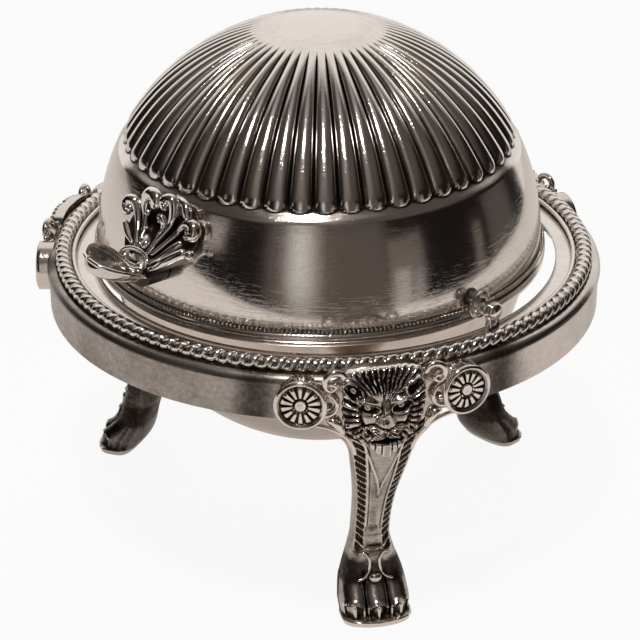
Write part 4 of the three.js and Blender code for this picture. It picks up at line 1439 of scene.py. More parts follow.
@dataclass
class Inserts(Part):
    """What lies in the bowl: a pierced drainer and a glass dish on it.

    Attributes:
        drop: Depth of the drainer below the pivot axis.
        radius: Radius of the drainer.
        thickness: Thickness of its sheet.
        rim: Height of its rim.
        hole: Radius of a hole.
        dish_radius: Radius of the glass dish.
        dish_height: Height of the glass dish.
        dish_foot: Radius of its foot.
        dish_wall: Thickness of its wall.
        coat: Finish of the drainer.
        glass: Finish of the dish.
    """

    drop: float = 40.0
    radius: float = 63.27
    thickness: float = 1.2
    rim: float = 4.0
    hole: float = 2.6
    dish_radius: float = 56.97
    dish_height: float = 26.0
    dish_foot: float = 26.0
    dish_wall: float = 2.4
    coat: Silver = Silver("drainer_plate", Slot.BOWL, tarnish=0.3, gloss=0.14, scratches=0.4)
    glass: Glass = Glass()

    def build(self) -> None:
        """Builds the drainer and the glass dish."""
        self.build_drainer()
        self.build_dish()

    def build_drainer(self) -> None:
        """Builds the pierced plate and the rim that stands round it."""
        plate = Shape()
        z = -self.drop
        loops = [(0.0, 0.0, self.radius - self.thickness - 0.6, 96)]
        for ring, count in ((20.0, 6), (42.0, 12)):
            for i in range(count):
                spot = polar(ring * self.radius / 62, 2 * math.pi * i / count, z)
                loops.append((spot.x, spot.y, self.hole, 24))
        edges = []
        for x, y, r, count in loops:
            circle = bmesh.ops.create_circle(
                plate.mesh, cap_ends=False, segments=count, radius=r,
                matrix=Matrix.Translation((x, y, z)),
            )
            edges += list({e for v in circle["verts"] for e in v.link_edges})
        fill = bmesh.ops.triangle_fill(
            plate.mesh, use_beauty=True, use_dissolve=False, edges=edges, normal=(0, 0, 1)
        )
        faces = [g for g in fill["geom"] if isinstance(g, bmesh.types.BMFace)]
        raised = bmesh.ops.extrude_face_region(plate.mesh, geom=faces, use_keep_orig=True)["geom"]
        plate.move(
            [g for g in raised if isinstance(g, bmesh.types.BMVert)],
            Matrix.Translation((0, 0, self.thickness)),
        )
        r, t = self.radius, self.thickness
        plate.turn([
            (r - t - 0.7, z), (r - 1.0, z), (r - 0.3, z + 0.4), (r, z + 1.0), (r, z + self.rim - 0.3),
            (r - 0.3, z + self.rim), (r - t + 0.3, z + self.rim), (r - t, z + self.rim - 0.3),
            (r - t, z + t), (r - t - 0.7, z + t),
        ], 96)
        plate.finish("drainer-plate", Body.DRAINER, self.coat, self.layout.pivot, ["drainer"], 40.0)

    def build_dish(self) -> None:
        """Builds the glass dish with a rounded rim and a foot ring."""
        z = -self.drop + self.thickness + 0.3
        r, foot, wall, high = self.dish_radius, self.dish_foot, self.dish_wall, self.dish_height
        dish = Shape()
        dish.turn([
            (0, z + 0.8), (foot - 4, z + 0.8), (foot - 3.6, z + 0.3), (foot - 3, z), (foot, z),
            (foot + 0.6, z + 0.6), (foot + 1, z + 3), (r - 21, z + high * 0.16), (r - 11, z + high * 0.34),
            (r - 6.2, z + high * 0.5), (r - 3, z + high * 0.68), (r - 1.1, z + high * 0.86),
            (r, z + high - 1.0), (r - 0.2, z + high - 0.3), (r - 0.9, z + high), (r - wall + 0.7, z + high),
            (r - wall, z + high - 0.4), (r - wall - 0.9, z + high * 0.88), (r - 3 - wall, z + high * 0.7),
            (r - 6.6 - wall, z + high * 0.5 + 0.6), (r - 12 - wall, z + high * 0.34 + wall),
            (foot + 9, z + 4.1 + wall), (foot - 1, z + 3 + wall), (0, z + 2.6 + wall),
        ], 96, closed=False)
        dish.finish("glass-dish", Body.GLASS_DISH, self.glass, self.layout.pivot, ["glass_dish"], 60.0)


@dataclass(frozen=True)
class LionMask:
    """The lion mask on a leg's wing, as a height inside its outline.

    Attributes:
        outline: Its outline, in millimetres across and up from its middle.
        middle: Height of its middle above the table.
        relief: How proud the face is in the middle.
        limit: The most that any point stands out.
    """

    outline: tuple[tuple[float, float], ...] = (
        (0.0, 17.0), (5.0, 17.2), (9.5, 16.4), (12.6, 15.0), (13.9, 11.0), (14.3, 5.0), (13.8, -0.5),
        (12.4, -5.0), (10.2, -8.8), (6.6, -11.6), (4.2, -13.4), (2.0, -16.4), (-0.4, -16.9), (-2.8, -16.2),
        (-5.2, -13.2), (-8.2, -11.4), (-12.0, -8.2), (-14.4, -3.6), (-15.0, 1.5), (-14.8, 7.0),
        (-15.8, 11.5), (-15.2, 14.6), (-10.5, 16.0), (-5.0, 16.9),
    )
    middle: float = 93.0
    relief: float = 4.6
    limit: float = 8.0

    def height_at(self, x: float, z: float, edge: float) -> float:
        """Height of the face above the wing.

        Args:
            x: Millimetres across from its middle.
            z: Millimetres up from its middle.
            edge: From 0 in the middle to 1 at the outline.

        Returns:
            The height.
        """
        high = self.relief * reed(edge) ** 0.6 + self.brow(x, z, edge)
        for feature in (self.eyes, self.nose, self.muzzle, self.jaw, self.ears):
            high += feature(x, z)
        return min(self.limit, high + self.mane(x, z, edge))

    def brow(self, x: float, z: float, edge: float) -> float:
        """The heavy brows and the hair that fans up from between them.

        Args:
            x: Millimetres across.
            z: Millimetres up.
            edge: From 0 in the middle to 1 at the outline.

        Returns:
            The height that it adds.
        """
        fan = math.atan2(x + 1.2, z - 2.5)
        low = mix(7.2, 5.6, smooth(-0.5, 1.0, x))
        hair = smooth(low, low + 1.2, z) * smooth(0.80, 0.66, abs(fan - 0.05))
        hair *= smooth(1.0, 0.95, edge)
        strands = 0.62 * math.cos(44 * fan + 0.7 * math.sin(1.1 * z)) + 0.4
        high = hair * strands * (0.7 + 0.5 * smooth(8, 13, z))
        high -= 0.9 * bump(x + 1.2, 0.45) * smooth(5.5, 7.5, z)
        high -= 0.7 * bump(z - 8.6 + 0.2 * x, 0.4) * smooth(0.5, 1.5, x) * smooth(7.0, 6.0, x)
        for side, up, lean in ((-7.2, 6.3, -0.42), (4.6, 6.1, 0.28)):
            high += 2.0 * bump(x - side, 3.2) * bump(z - up - lean * (x - side), 1.0)
        return high + 1.0 * bump(x + 1.0, 4.5) * bump(z - 8.5, 3.0)

    def eyes(self, x: float, z: float) -> float:
        """The almond eyes with their lids and pupils.

        Args:
            x: Millimetres across.
            z: Millimetres up.

        Returns:
            The height that it adds.
        """
        high = 0.0
        for side, up, wide, tall, lean in ((-6.4, 2.5, 3.6, 1.75, -0.12), (5.2, 2.7, 3.4, 2.3, 0.10)):
            over = z - up - lean * (x - side)
            eye = math.hypot((x - side) / wide, over / tall)
            high -= 2.3 * smooth(1.05, 0.75, eye)
            high += 0.75 * bump(eye - 1.12, 0.13)
            high += 1.7 * reed(min(1.0, math.hypot(x - side, over) / 1.5))
            high -= 0.5 * bump(math.hypot(x - side + 0.2, over - 0.3), 0.45)
            high += 0.65 * bump(eye - 1.55, 0.14) * smooth(0.2, -0.8, over)
        return high

    def nose(self, x: float, z: float) -> float:
        """The nose, from the bridge to its wings and tip.

        Args:
            x: Millimetres across.
            z: Millimetres up.

        Returns:
            The height that it adds.
        """
        wide = 1.25 + 1.9 * smooth(2.5, -3.2, z)
        along = smooth(-6.4, -4.6, z) * smooth(6.5, 2.5, z)
        high = 2.6 * smooth(1.25, 0.55, abs(x + 0.5) / wide) * along
        high += 1.1 * bump(x + 1.3, 1.3) * bump(z + 2.4, 1.4)
        high += 0.7 * bump(abs(x + 0.4) - 2.9, 0.7) * bump(z + 3.4, 0.9)
        return high - 1.3 * bump(abs(x + 0.3) - 1.5, 0.5) * bump(z + 5.0, 0.5)

    def muzzle(self, x: float, z: float) -> float:
        """The two round halves of the muzzle, each with a fine edge.

        Args:
            x: Millimetres across.
            z: Millimetres up.

        Returns:
            The height that it adds.
        """
        high = 0.0
        for side, up, stripes in ((-4.2, -6.6, False), (3.8, -6.9, True)):
            lobe = math.hypot((x - side) / 4.1, (z - up) / 2.8)
            high += 2.1 * reed(min(1.0, 0.9 * lobe)) * (lobe < 1.11)
            high += 0.75 * bump(lobe - 1.0, 0.09) - 0.9 * bump(lobe - 1.22, 0.10)
            if lobe < 0.92:
                wave = (
                    math.cos(3.9 * (z - 0.16 * (x - side) ** 2)) if stripes
                    else math.sin(4 * x) * math.sin(5 * z)
                )
                high += 0.36 * wave * smooth(0.92, 0.7, lobe)
        return high - 1.4 * bump(x + 0.2, 0.35) * bump(z + 7.4, 1.5)

    def jaw(self, x: float, z: float) -> float:
        """The mouth, and the row of blocks under it, longest in the middle.

        Args:
            x: Millimetres across.
            z: Millimetres up.

        Returns:
            The height that it adds.
        """
        high = (
            -2.0 * bump(x + 0.2, 1.6) * bump(z + 9.1, 0.5)
            - 1.0 * bump(z + 9.6, 0.35) * smooth(6.5, 5.0, abs(x))
        )
        high += 0.6 * bump(z + 10.2, 0.25) * smooth(2.6, 2.0, abs(x + 0.3))
        for side, half, end in (
            (-0.4, 1.65, -16.1), (-3.2, 1.0, -14.9), (-5.2, 0.85, -13.2), (2.3, 0.9, -14.4),
            (4.1, 0.8, -13.4), (5.7, 0.7, -12.2),
        ):
            block = (
                smooth(half + 0.15, half - 0.25, abs(x - side)) * smooth(end, end + 0.6, z)
                * smooth(-9.9, -10.4, z)
            )
            high += 2.9 * block
        return high

    def ears(self, x: float, z: float) -> float:
        """The left ear, an almond with a bean in it, and the right one, a tilted ring.

        Args:
            x: Millimetres across.
            z: Millimetres up.

        Returns:
            The height that it adds.
        """
        a, b = x + 11.6, z - 9.4
        left = math.hypot((a * 0.72 - b * 0.69) / 3.9, (a * 0.69 + b * 0.72) / 2.4)
        high = 1.5 * bump(left - 1.0, 0.16) - 2.3 * smooth(0.95, 0.6, left)
        high += 1.9 * reed(min(1.0, math.hypot(a - 0.2, b + 0.4) / 1.4))
        a, b = x - 9.6, z - 10.0
        right = math.hypot((a * 0.8 + b * 0.6) / 3.5, (b * 0.8 - a * 0.6) / 2.6)
        return high + 1.9 * bump(right - 1.0, 0.18) - 3.0 * smooth(0.9, 0.5, right)

    def mane(self, x: float, z: float, edge: float) -> float:
        """The short strokes of hair round the cheeks.

        Args:
            x: Millimetres across.
            z: Millimetres up.
            edge: From 0 in the middle to 1 at the outline.

        Returns:
            The height that it adds.
        """
        around = math.atan2(x + 0.5, -(z + 1.0))
        zone = smooth(0.60, 0.68, edge) * smooth(2.35, 2.15, abs(around))
        zone *= smooth(0.48, 0.60, abs(around))
        strokes = 0.5 + 0.5 * math.cos(31 * around + 4.0 * edge * math.copysign(1, x))
        high = zone * (2.0 * strokes**1.4 - 0.9)
        groove = 1.5 * bump(edge - 0.60, 0.04) * smooth(2.3, 2.0, abs(around))
        return high - groove * smooth(0.55, 0.75, abs(around))

    def add(self, leg: Shape, band_radius: float) -> None:
        """Adds the mask to a leg that faces -Y.

        Args:
            leg: The leg in the making.
            band_radius: Outside radius of the band.
        """
        rim = Curve((*self.outline[i % len(self.outline)], 0.0) for i in range(len(self.outline) + 1))

        def place(s: float, t: float) -> Vector:
            """A point from the tip of the face out to its edge and in behind it.

            Args:
                s: The share round the face.
                t: The share of the way.

            Returns:
                The point.
            """
            edge = min(1.0, t / 0.96)
            x, z, _ = rim.at(s) * edge
            out = 1.2 + self.height_at(x, z, edge) if t < 0.97 else -1.0
            if t > 0.985:
                x, z = 0.0, 0.0
            return Vector((x, -(band_radius + out - x * x / (2 * band_radius)), self.middle + z))

        leg.sheet(240, 80, place)


@dataclass
class Leg(Part):
    """A cast leg: paw, shin and wing, with a lion mask between two roundels.

    Attributes:
        side: Which leg it is.
        bearing: Its bearing in degrees.
        shift: How far the foot is bent sideways.
        splay: How far the foot is bent outwards.
        band_radius: Outside radius of the band that it is soldered to.
        band_base: Height of the band's lower edge.
        rosette_radius: Radius of a roundel.
        rosette_proud: How far its face stands out of the band.
        rosette_height: Height of its middle.
        rosette_spread: How far along the band it is from the mask's middle.
        petals: How many petals it has.
        toe: How far out the toes reach.
        heel: How far out the heel lies.
        paw_width: Width of the paw.
        paw_height: Height of the paw.
        ankle_z: Height of the ankle.
        ankle_r: How far out it lies.
        ankle_w: Its width.
        ankle_t: Its thickness.
        knee_z: Height of the knee.
        knee_r: How far out it lies.
        knee_w: Its width.
        knee_t: Its thickness.
        wing_w: Width of the wing.
        wing_t: How proud of the band it stands.
        mask: The lion mask on the wing.
        coat: Its finish.
    """

    side: str
    bearing: float
    shift: float
    splay: float
    band_radius: float = 101.5
    band_base: float = 89.0
    toe: float = 95.5
    heel: float = 75.0
    paw_width: float = 25.8
    paw_height: float = 15.0
    ankle_z: float = 31.0
    ankle_r: float = 77.0
    ankle_w: float = 13.6
    ankle_t: float = 11.6
    knee_z: float = 67.0
    knee_r: float = 94.0
    knee_w: float = 19.6
    knee_t: float = 11.0
    wing_w: float = 40.0
    wing_t: float = 2.6
    rosette_radius: float = 9.1
    rosette_proud: float = 5.1
    rosette_height: float = 96.7
    rosette_spread: float = 29.4
    petals: int = 14
    mask: LionMask = LionMask()
    coat: Silver = Silver(
        "leg_cast", Slot.CAST, bright=(0.90, 0.83, 0.765), dull=(0.17, 0.14, 0.12), tarnish=0.52,
        patchy=1.3, rubbing=1.3, gloss=0.12, haze=0.10, scratches=0.3, pits=0.6, hollow_from=0.0,
        hollow_to=0.34,
    )

    def __post_init__(self) -> None:
        """Works out the sections from the sole up, and gives the two legs turned away from the lamp a
        near-black copy of the cast finish, as painted shade.
        """
        # Painted shade: every leg but the right one gets a shaded copy of the cast finish, near black and
        # tarnished all over, with raised edges still rubbed bright.
        if self.side != "right":
            self.coat = Silver(
                "leg_shaded", Slot.CAST, bright=(0.72, 0.66, 0.60), dull=(0.016, 0.012, 0.010), tarnish=1.0,
                patchy=0.4, rubbing=1.1, gloss=0.13, haze=0.10, scratches=0.3, pits=0.6, hollow_from=0.0,
                hollow_to=0.34,
            )
        low, high = self.band_base, self.band_base + 16.4
        r, t = self.band_radius, self.wing_t
        self.sections = [
            (0.0, self.toe - 0.6, self.heel + 5, self.paw_width - 1.4),
            (1.9, self.toe, self.heel + 4, self.paw_width),
            (2.4, self.toe - 1.0, self.heel + 3, self.paw_width - 0.8),
            (self.paw_height * 0.45, self.toe - 1.5, self.heel, self.paw_width),
            (self.paw_height, self.toe - 9, self.heel - 2, self.paw_width - 3),
            ((self.paw_height + self.ankle_z) / 2, self.ankle_r + self.ankle_t * 0.66,
             self.ankle_r - self.ankle_t * 0.56, self.ankle_w + 3.6),
            (self.ankle_z, self.ankle_r + self.ankle_t / 2, self.ankle_r - self.ankle_t / 2, self.ankle_w),
            ((self.ankle_z + self.knee_z) / 2, self.knee_r - 4, self.knee_r - 15.4, self.ankle_w + 1),
            (self.knee_z, self.knee_r + self.knee_t / 2, self.knee_r - self.knee_t / 2, self.knee_w),
            (low - 10, r + t * 0.6, r - 5, self.knee_w + 6),
            (low - 1, r + t, r - 1.5, self.wing_w),
            (low + 8, r + t, r - 1.5, self.wing_w + 2),
            (high - 2.6, r + t * 0.9, r - 1.5, self.wing_w - 2),
            (high + 1, r + t * 0.4, r - 1.5, self.wing_w - 12),
        ]

    def section(self, z: float) -> tuple[float, float, float]:
        """Front reach, back reach and width at a height.

        Args:
            z: Height above the table.

        Returns:
            The front, the back and the width.
        """
        rows = self.sections
        i = max(0, min(len(rows) - 2, sum(1 for row in rows if row[0] <= z) - 1))
        (z0, *a), (z1, *b) = rows[i], rows[i + 1]
        before = rows[i - 1] if i > 0 else rows[i]
        after = rows[i + 2] if i + 2 < len(rows) else rows[i + 1]
        t = min(1.0, max(0.0, (z - z0) / (z1 - z0)))
        values = []
        for k in range(3):
            low = (b[k] - before[k + 1]) / max(1e-6, z1 - before[0]) * (z1 - z0)
            high = (after[k + 1] - a[k]) / max(1e-6, after[0] - z0) * (z1 - z0)
            gap = b[k] - a[k]
            low = max(-3 * abs(gap), min(3 * abs(gap), low)) if low * gap > 0 else 0.0
            high = max(-3 * abs(gap), min(3 * abs(gap), high)) if high * gap > 0 else 0.0
            h = t * t * (3 - 2 * t)
            values.append(a[k] + gap * h + low * t * (1 - t) ** 2 - high * t * t * (1 - t))
        return values[0], values[1], values[2]

    def relief(self, u: float, z: float, half: float) -> float:
        """How far the front of the leg is raised or sunk.

        Args:
            u: From -1 to 1 across the front.
            z: Height above the table.
            half: Half the leg's width there.

        Returns:
            The height of the relief.
        """
        side = abs(u) * half
        shin = smooth(25.0, 28.0, z) * (1 - smooth(86.0, 89.5, z))
        rail = half * 0.93
        inner = half * mix(0.42, 0.52, smooth(30, 75, z))
        high = 0.75 * bump(side - rail, 0.45) * shin
        high += 0.60 * bump(side - inner, 0.40) * smooth(33, 36, z) * (1 - smooth(76, 82, z))
        braid = smooth(inner + 0.3, inner + 0.9, side) * smooth(rail - 0.3, rail - 0.9, side) * shin
        phase = (z - 0.75 * (side - inner)) / 3.3
        rib = max(0.0, math.cos(2 * math.pi * phase)) ** 1.5
        high += braid * (1.15 * rib - 0.75)
        panel = smooth(inner - 0.4, inner - 1.2, side) * smooth(33, 37, z) * (1 - smooth(80, 84, z))
        high += panel * (-0.35 + 0.9 * reed(min(1.0, side / max(inner, 1e-6))))
        tongue = inner * smooth(52, 80, z)
        if z > 52:
            high += 0.55 * bump(side - tongue, 0.35) * smooth(52, 54, z) * (1 - smooth(76, 80, z))
        high += 0.8 * bump(z - 26.2, 0.55) * smooth(3.0, 2.4, side)
        return high

    def toes(self, u: float, z: float) -> float:
        """How far the paw's front is cut back between and under the toes.

        Args:
            u: From -1 to 1 across the front.
            z: Height above the table.

        Returns:
            The depth of the cut.
        """
        across = 1.5 * u + 0.5
        v = 2 * (across - math.floor(across)) - 1
        if abs(u) > 0.985:
            v = math.copysign(1.0, u)
        share = (1 - smooth(13.0, 20.0, z)) * smooth(1.9, 3.0, z)
        cut = 3.4 * (1 - reed(v) ** 0.9) * share
        hood = 8.2 - 2.6 * v * v
        inside = smooth(0.80, 0.62, abs(v))
        cut += 1.9 * inside * smooth(hood, hood - 0.7, z) * smooth(2.1, 3.2, z)
        cut -= 0.8 * bump(z - hood, 0.55) * smooth(0.95, 0.75, abs(v)) * smooth(2.6, 4.0, z)
        cut -= 1.8 * bump(v, 0.26) * smooth(hood + 0.5, hood - 1.0, z) * smooth(2.0, 3.6, z)
        return cut

    def bend(self, z: float) -> float:
        """The share of the foot's bend that is reached at a height."""
        return 1 - smooth(self.paw_height, self.knee_z + 8, z)

    def point(self, s: float, z: float) -> Vector:
        """A point on the leg's skin, for a leg that faces -Y.

        Args:
            s: The share of the way round, with the front first.
            z: Height above the table.

        Returns:
            The point.
        """
        front, back, width = self.section(z)
        split = 0.66
        on_front = s < split
        angle = math.pi * s / split if on_front else math.pi * (1 + (s - split) / (1 - split))
        u, lean = math.cos(angle), abs(math.sin(angle))
        middle = mix(back, front, 0.45)
        side = width / 2 * u
        if on_front:
            reach = middle + (front - middle) * lean**0.5
            reach += self.relief(u, z, width / 2) * smooth(0.0, 0.25, lean) - self.toes(u, z)
        else:
            reach = middle - (middle - back) * lean**0.7
        bent = self.bend(z)
        out = reach + self.splay * bent - (width / 2 * u) ** 2 / (2 * self.band_radius)
        return Vector((side + self.shift * bent, -out, z))

    def on_front(self, side: float, z: float, stand: float) -> Vector:
        """A point just off the front of the leg.

        Args:
            side: Millimetres across from the middle of the leg.
            z: Height above the table.
            stand: Height above the plain front.

        Returns:
            The point.
        """
        front, back, width = self.section(z)
        u = max(-1.0, min(1.0, 2 * side / width))
        middle = mix(back, front, 0.45)
        reach = middle + (front - middle) * reed(u) ** 0.5 + stand
        bent = self.bend(z)
        out = reach + self.splay * bent - side**2 / (2 * self.band_radius)
        return Vector((side + self.shift * bent, -out, z))

    def on_wing(self, side: float, z: float, stand: float) -> Vector:
        """A point in front of the wing, which follows the band."""
        angle = side / self.band_radius
        return polar(self.band_radius + self.wing_t + stand, angle, z)

    def build(self) -> None:
        """Builds the leg in one casting."""
        leg = Shape()
        levels = [0.0, 0.35, 1.5, 1.9, 2.15, 2.4]
        levels += [2.4 + 0.45 * i for i in range(1, 60)]
        levels += [levels[-1] + (106.4 - levels[-1]) * i / 150 for i in range(1, 151)]
        rows = len(levels) + 1

        def place(s: float, t: float) -> Vector:
            """A point on the skin, with the ends drawn in to a point.

            Args:
                s: The share round the leg.
                t: The share up it.

            Returns:
                The point.
            """
            row = round(t * rows)
            if row in (0, rows):
                z = levels[0] if row == 0 else levels[-1]
                front, back, _ = self.section(z)
                bent = self.bend(z)
                return Vector((self.shift * bent, -((front + back) / 2 + self.splay * bent), z))
            return self.point(s, levels[row - 1])

        # Painted shade: a band over the top of the paw, from about 11.5 to 24 mm up, is darkened as if it
        # mirrored the dark room above.
        for v in leg.sheet(150, rows, place):
            v[leg.sunk] = 0.30 * smooth(11.5, 14.5, v.co.z) * smooth(24.0, 20.0, v.co.z)
        self.mask.add(leg, self.band_radius)
        for way in (1, -1):
            self.add_rosette(leg, way)
            self.add_scrolls(leg, way)
            self.add_arcs(leg, way)
        leg.ball(self.on_front(0.0, 15.6, 0.4), (2.4, 1.7, 1.9), 16)
        turn = Matrix.Rotation(math.radians(self.bearing), 4, "Z")
        leg.finish(
            f"leg-{self.side}", Body.BASE, self.coat, self.layout.ring @ turn, [f"leg_{self.side}"], 70.0,
            (12, 0.42),
        )

    def add_rosette(self, leg: Shape, way: int) -> None:
        """Adds a roundel: a drum with a raised rim, wedge petals and a flat button.

        Args:
            leg: The leg in the making.
            way: The side of the mask that it is on.
        """
        r = self.rosette_radius
        face = self.band_radius + self.rosette_proud
        count = self.petals * 8

        def depth(radius: float, part: float) -> float:
            """How deep the face lies at a radius and a place in a petal.

            Args:
                radius: Millimetres from the middle.
                part: The share across the petal.

            Returns:
                The depth.
            """
            inside = smooth(7.7, 7.4, radius)
            petal = (
                0.95 * smooth(0.72, 0.55, abs(2 * part - 1)) * smooth(2.3, 3.0, radius)
                * smooth(7.0, 6.6, radius)
            )
            bead = 0.85 * bump(radius - 7.3, 0.28)
            button = 1.1 * smooth(2.15, 1.85, radius)
            slope = 0.45 * smooth(8.3, 9.1, radius) + 0.35 * smooth(8.2, 7.6, radius)
            return mix(slope, 1.45, inside) - bead - petal - button

        radii = [
            0.0, 1.0, 1.8, 2.0, 2.2, 2.6, 3.0, 3.9, 4.8, 5.8, 6.5, 6.8, 7.05, 7.3, 7.55, 7.8, 8.1, 8.4,
            8.75, 9.1,
        ]

        def place(s: float, t: float) -> Vector:
            """A point over the face, down the drum's wall and behind it.

            Args:
                s: The share round the drum.
                t: The share of the way.

            Returns:
                The point.
            """
            row = round(t * (len(radii) + 2))
            angle = 2 * math.pi * s
            part = (s * self.petals) % 1.0
            if row < len(radii):
                radius = radii[row]
                out = face - depth(radius, part)
            elif row == len(radii):
                radius, out = r, face - 1.6
            elif row == len(radii) + 1:
                radius, out = r, self.band_radius - 1.0
            else:
                radius, out = 0.0, self.band_radius - 1.0
            return Vector((radius * math.cos(angle), -out, self.rosette_height + radius * math.sin(angle)))

        made = leg.sheet(count, len(radii) + 2, place)
        turn = way * self.rosette_spread / (self.band_radius + self.rosette_proud)
        leg.move(made, Matrix.Rotation(turn, 4, "Z"))

    def add_scrolls(self, leg: Shape, way: int) -> None:
        """Adds the scrollwork between the mask and a roundel.

        Args:
            leg: The leg in the making.
            way: The side of the mask that it is on.
        """

        def line(points: Sequence[tuple[float, float, float]]) -> Curve:
            """A line over the wing on this side."""
            return Curve(self.on_wing(way * side, z, stand) for side, z, stand in points)

        upper = line([
            (13.2, 105.5, 0.2), (14.6, 108.3, 0.6), (17.2, 109.0, 1.2), (19.6, 107.2, 1.4),
            (20.0, 104.2, 1.2), (18.3, 102.4, 1.0), (16.7, 103.4, 0.9), (17.0, 105.0, 0.9),
        ])
        leg.bar(upper, lambda t: 1.35 - 0.55 * t, 12, 44)
        leg.ball(self.on_wing(way * 18.0, 104.7, 0.7), (1.25,) * 3, 12)
        lower = line([
            (20.5, 101.0, -0.4), (17.4, 99.6, 0.5), (16.0, 96.8, 0.8), (17.2, 93.9, 0.9), (19.9, 92.6, 0.8),
            (21.8, 94.2, 0.7), (20.6, 95.9, 0.6),
        ])
        leg.bar(lower, lambda t: 0.95 - 0.2 * t, 10, 40)
        leg.ball(self.on_wing(way * 19.2, 95.4, 0.3), (1.7, 1.2, 1.1), 12)
        leaf = line([(13.6, 84.5, -0.6), (15.4, 88.0, 0.2), (17.2, 90.2, 0.5), (19.6, 90.6, 0.2)])
        leg.bar(leaf, lambda t: 0.7 + 0.9 * math.sin(math.pi * t), 10, 26)
        edge = line([
            (9.8, 75.5, -2.2), (10.9, 79.5, -1.5), (13.8, 84.0, -0.7), (18.0, 87.0, -0.2),
            (23.2, 88.6, 0.2), (27.5, 88.3, 0.4),
        ])
        leg.bar(edge, lambda t: 0.75, 10, 44)
        top = line([(19.5, 103.5, -0.5), (22.0, 105.2, 0.2), (24.0, 105.6, 0.6)])
        leg.bar(top, lambda t: 0.8, 8, 16)

    def add_arcs(self, leg: Shape, way: int) -> None:
        """Adds the two arcs over the paw that spread away from each other.

        Args:
            leg: The leg in the making.
            way: The side that it is on.
        """
        line = Curve(self.on_front(way * side, z, stand) for side, z, stand in [
            (5.4, 24.2, 0.3), (3.6, 24.7, 0.35), (2.1, 23.2, 0.3), (1.75, 20.6, 0.3), (2.3, 18.0, 0.4),
            (4.0, 15.9, 0.7), (6.4, 14.9, 1.0),
        ])
        leg.bar(line, lambda t: 0.5, 8, 40)


# The studio.


@dataclass(frozen=True)
class Patch:
    """A patch of light on the walls of the room, with soft edges.

    An edge is two directions in degrees: where the patch is dark, and where it is full.

    Attributes:
        left: Its left edge, to the right of the camera.
        right: Its right edge.
        top: Its upper edge, above the table.
        level: How bright it is.
        bottom: Its lower edge, where it has one.
    """

    left: Edge
    right: Edge
    top: Edge
    level: float
    bottom: Edge | None = None

    def shine(self, turn: Value, lift: Value) -> Value:
        """How bright the patch is in a direction.

        Args:
            turn: The direction to the right of the camera, in degrees.
            lift: Its height above the table, in degrees.

        Returns:
            The brightness.
        """
        share = turn.rise(*self.left) * turn.rise(*self.right) * lift.rise(*self.top)
        if self.bottom:
            share = share * lift.rise(*self.bottom)
        return share * self.level


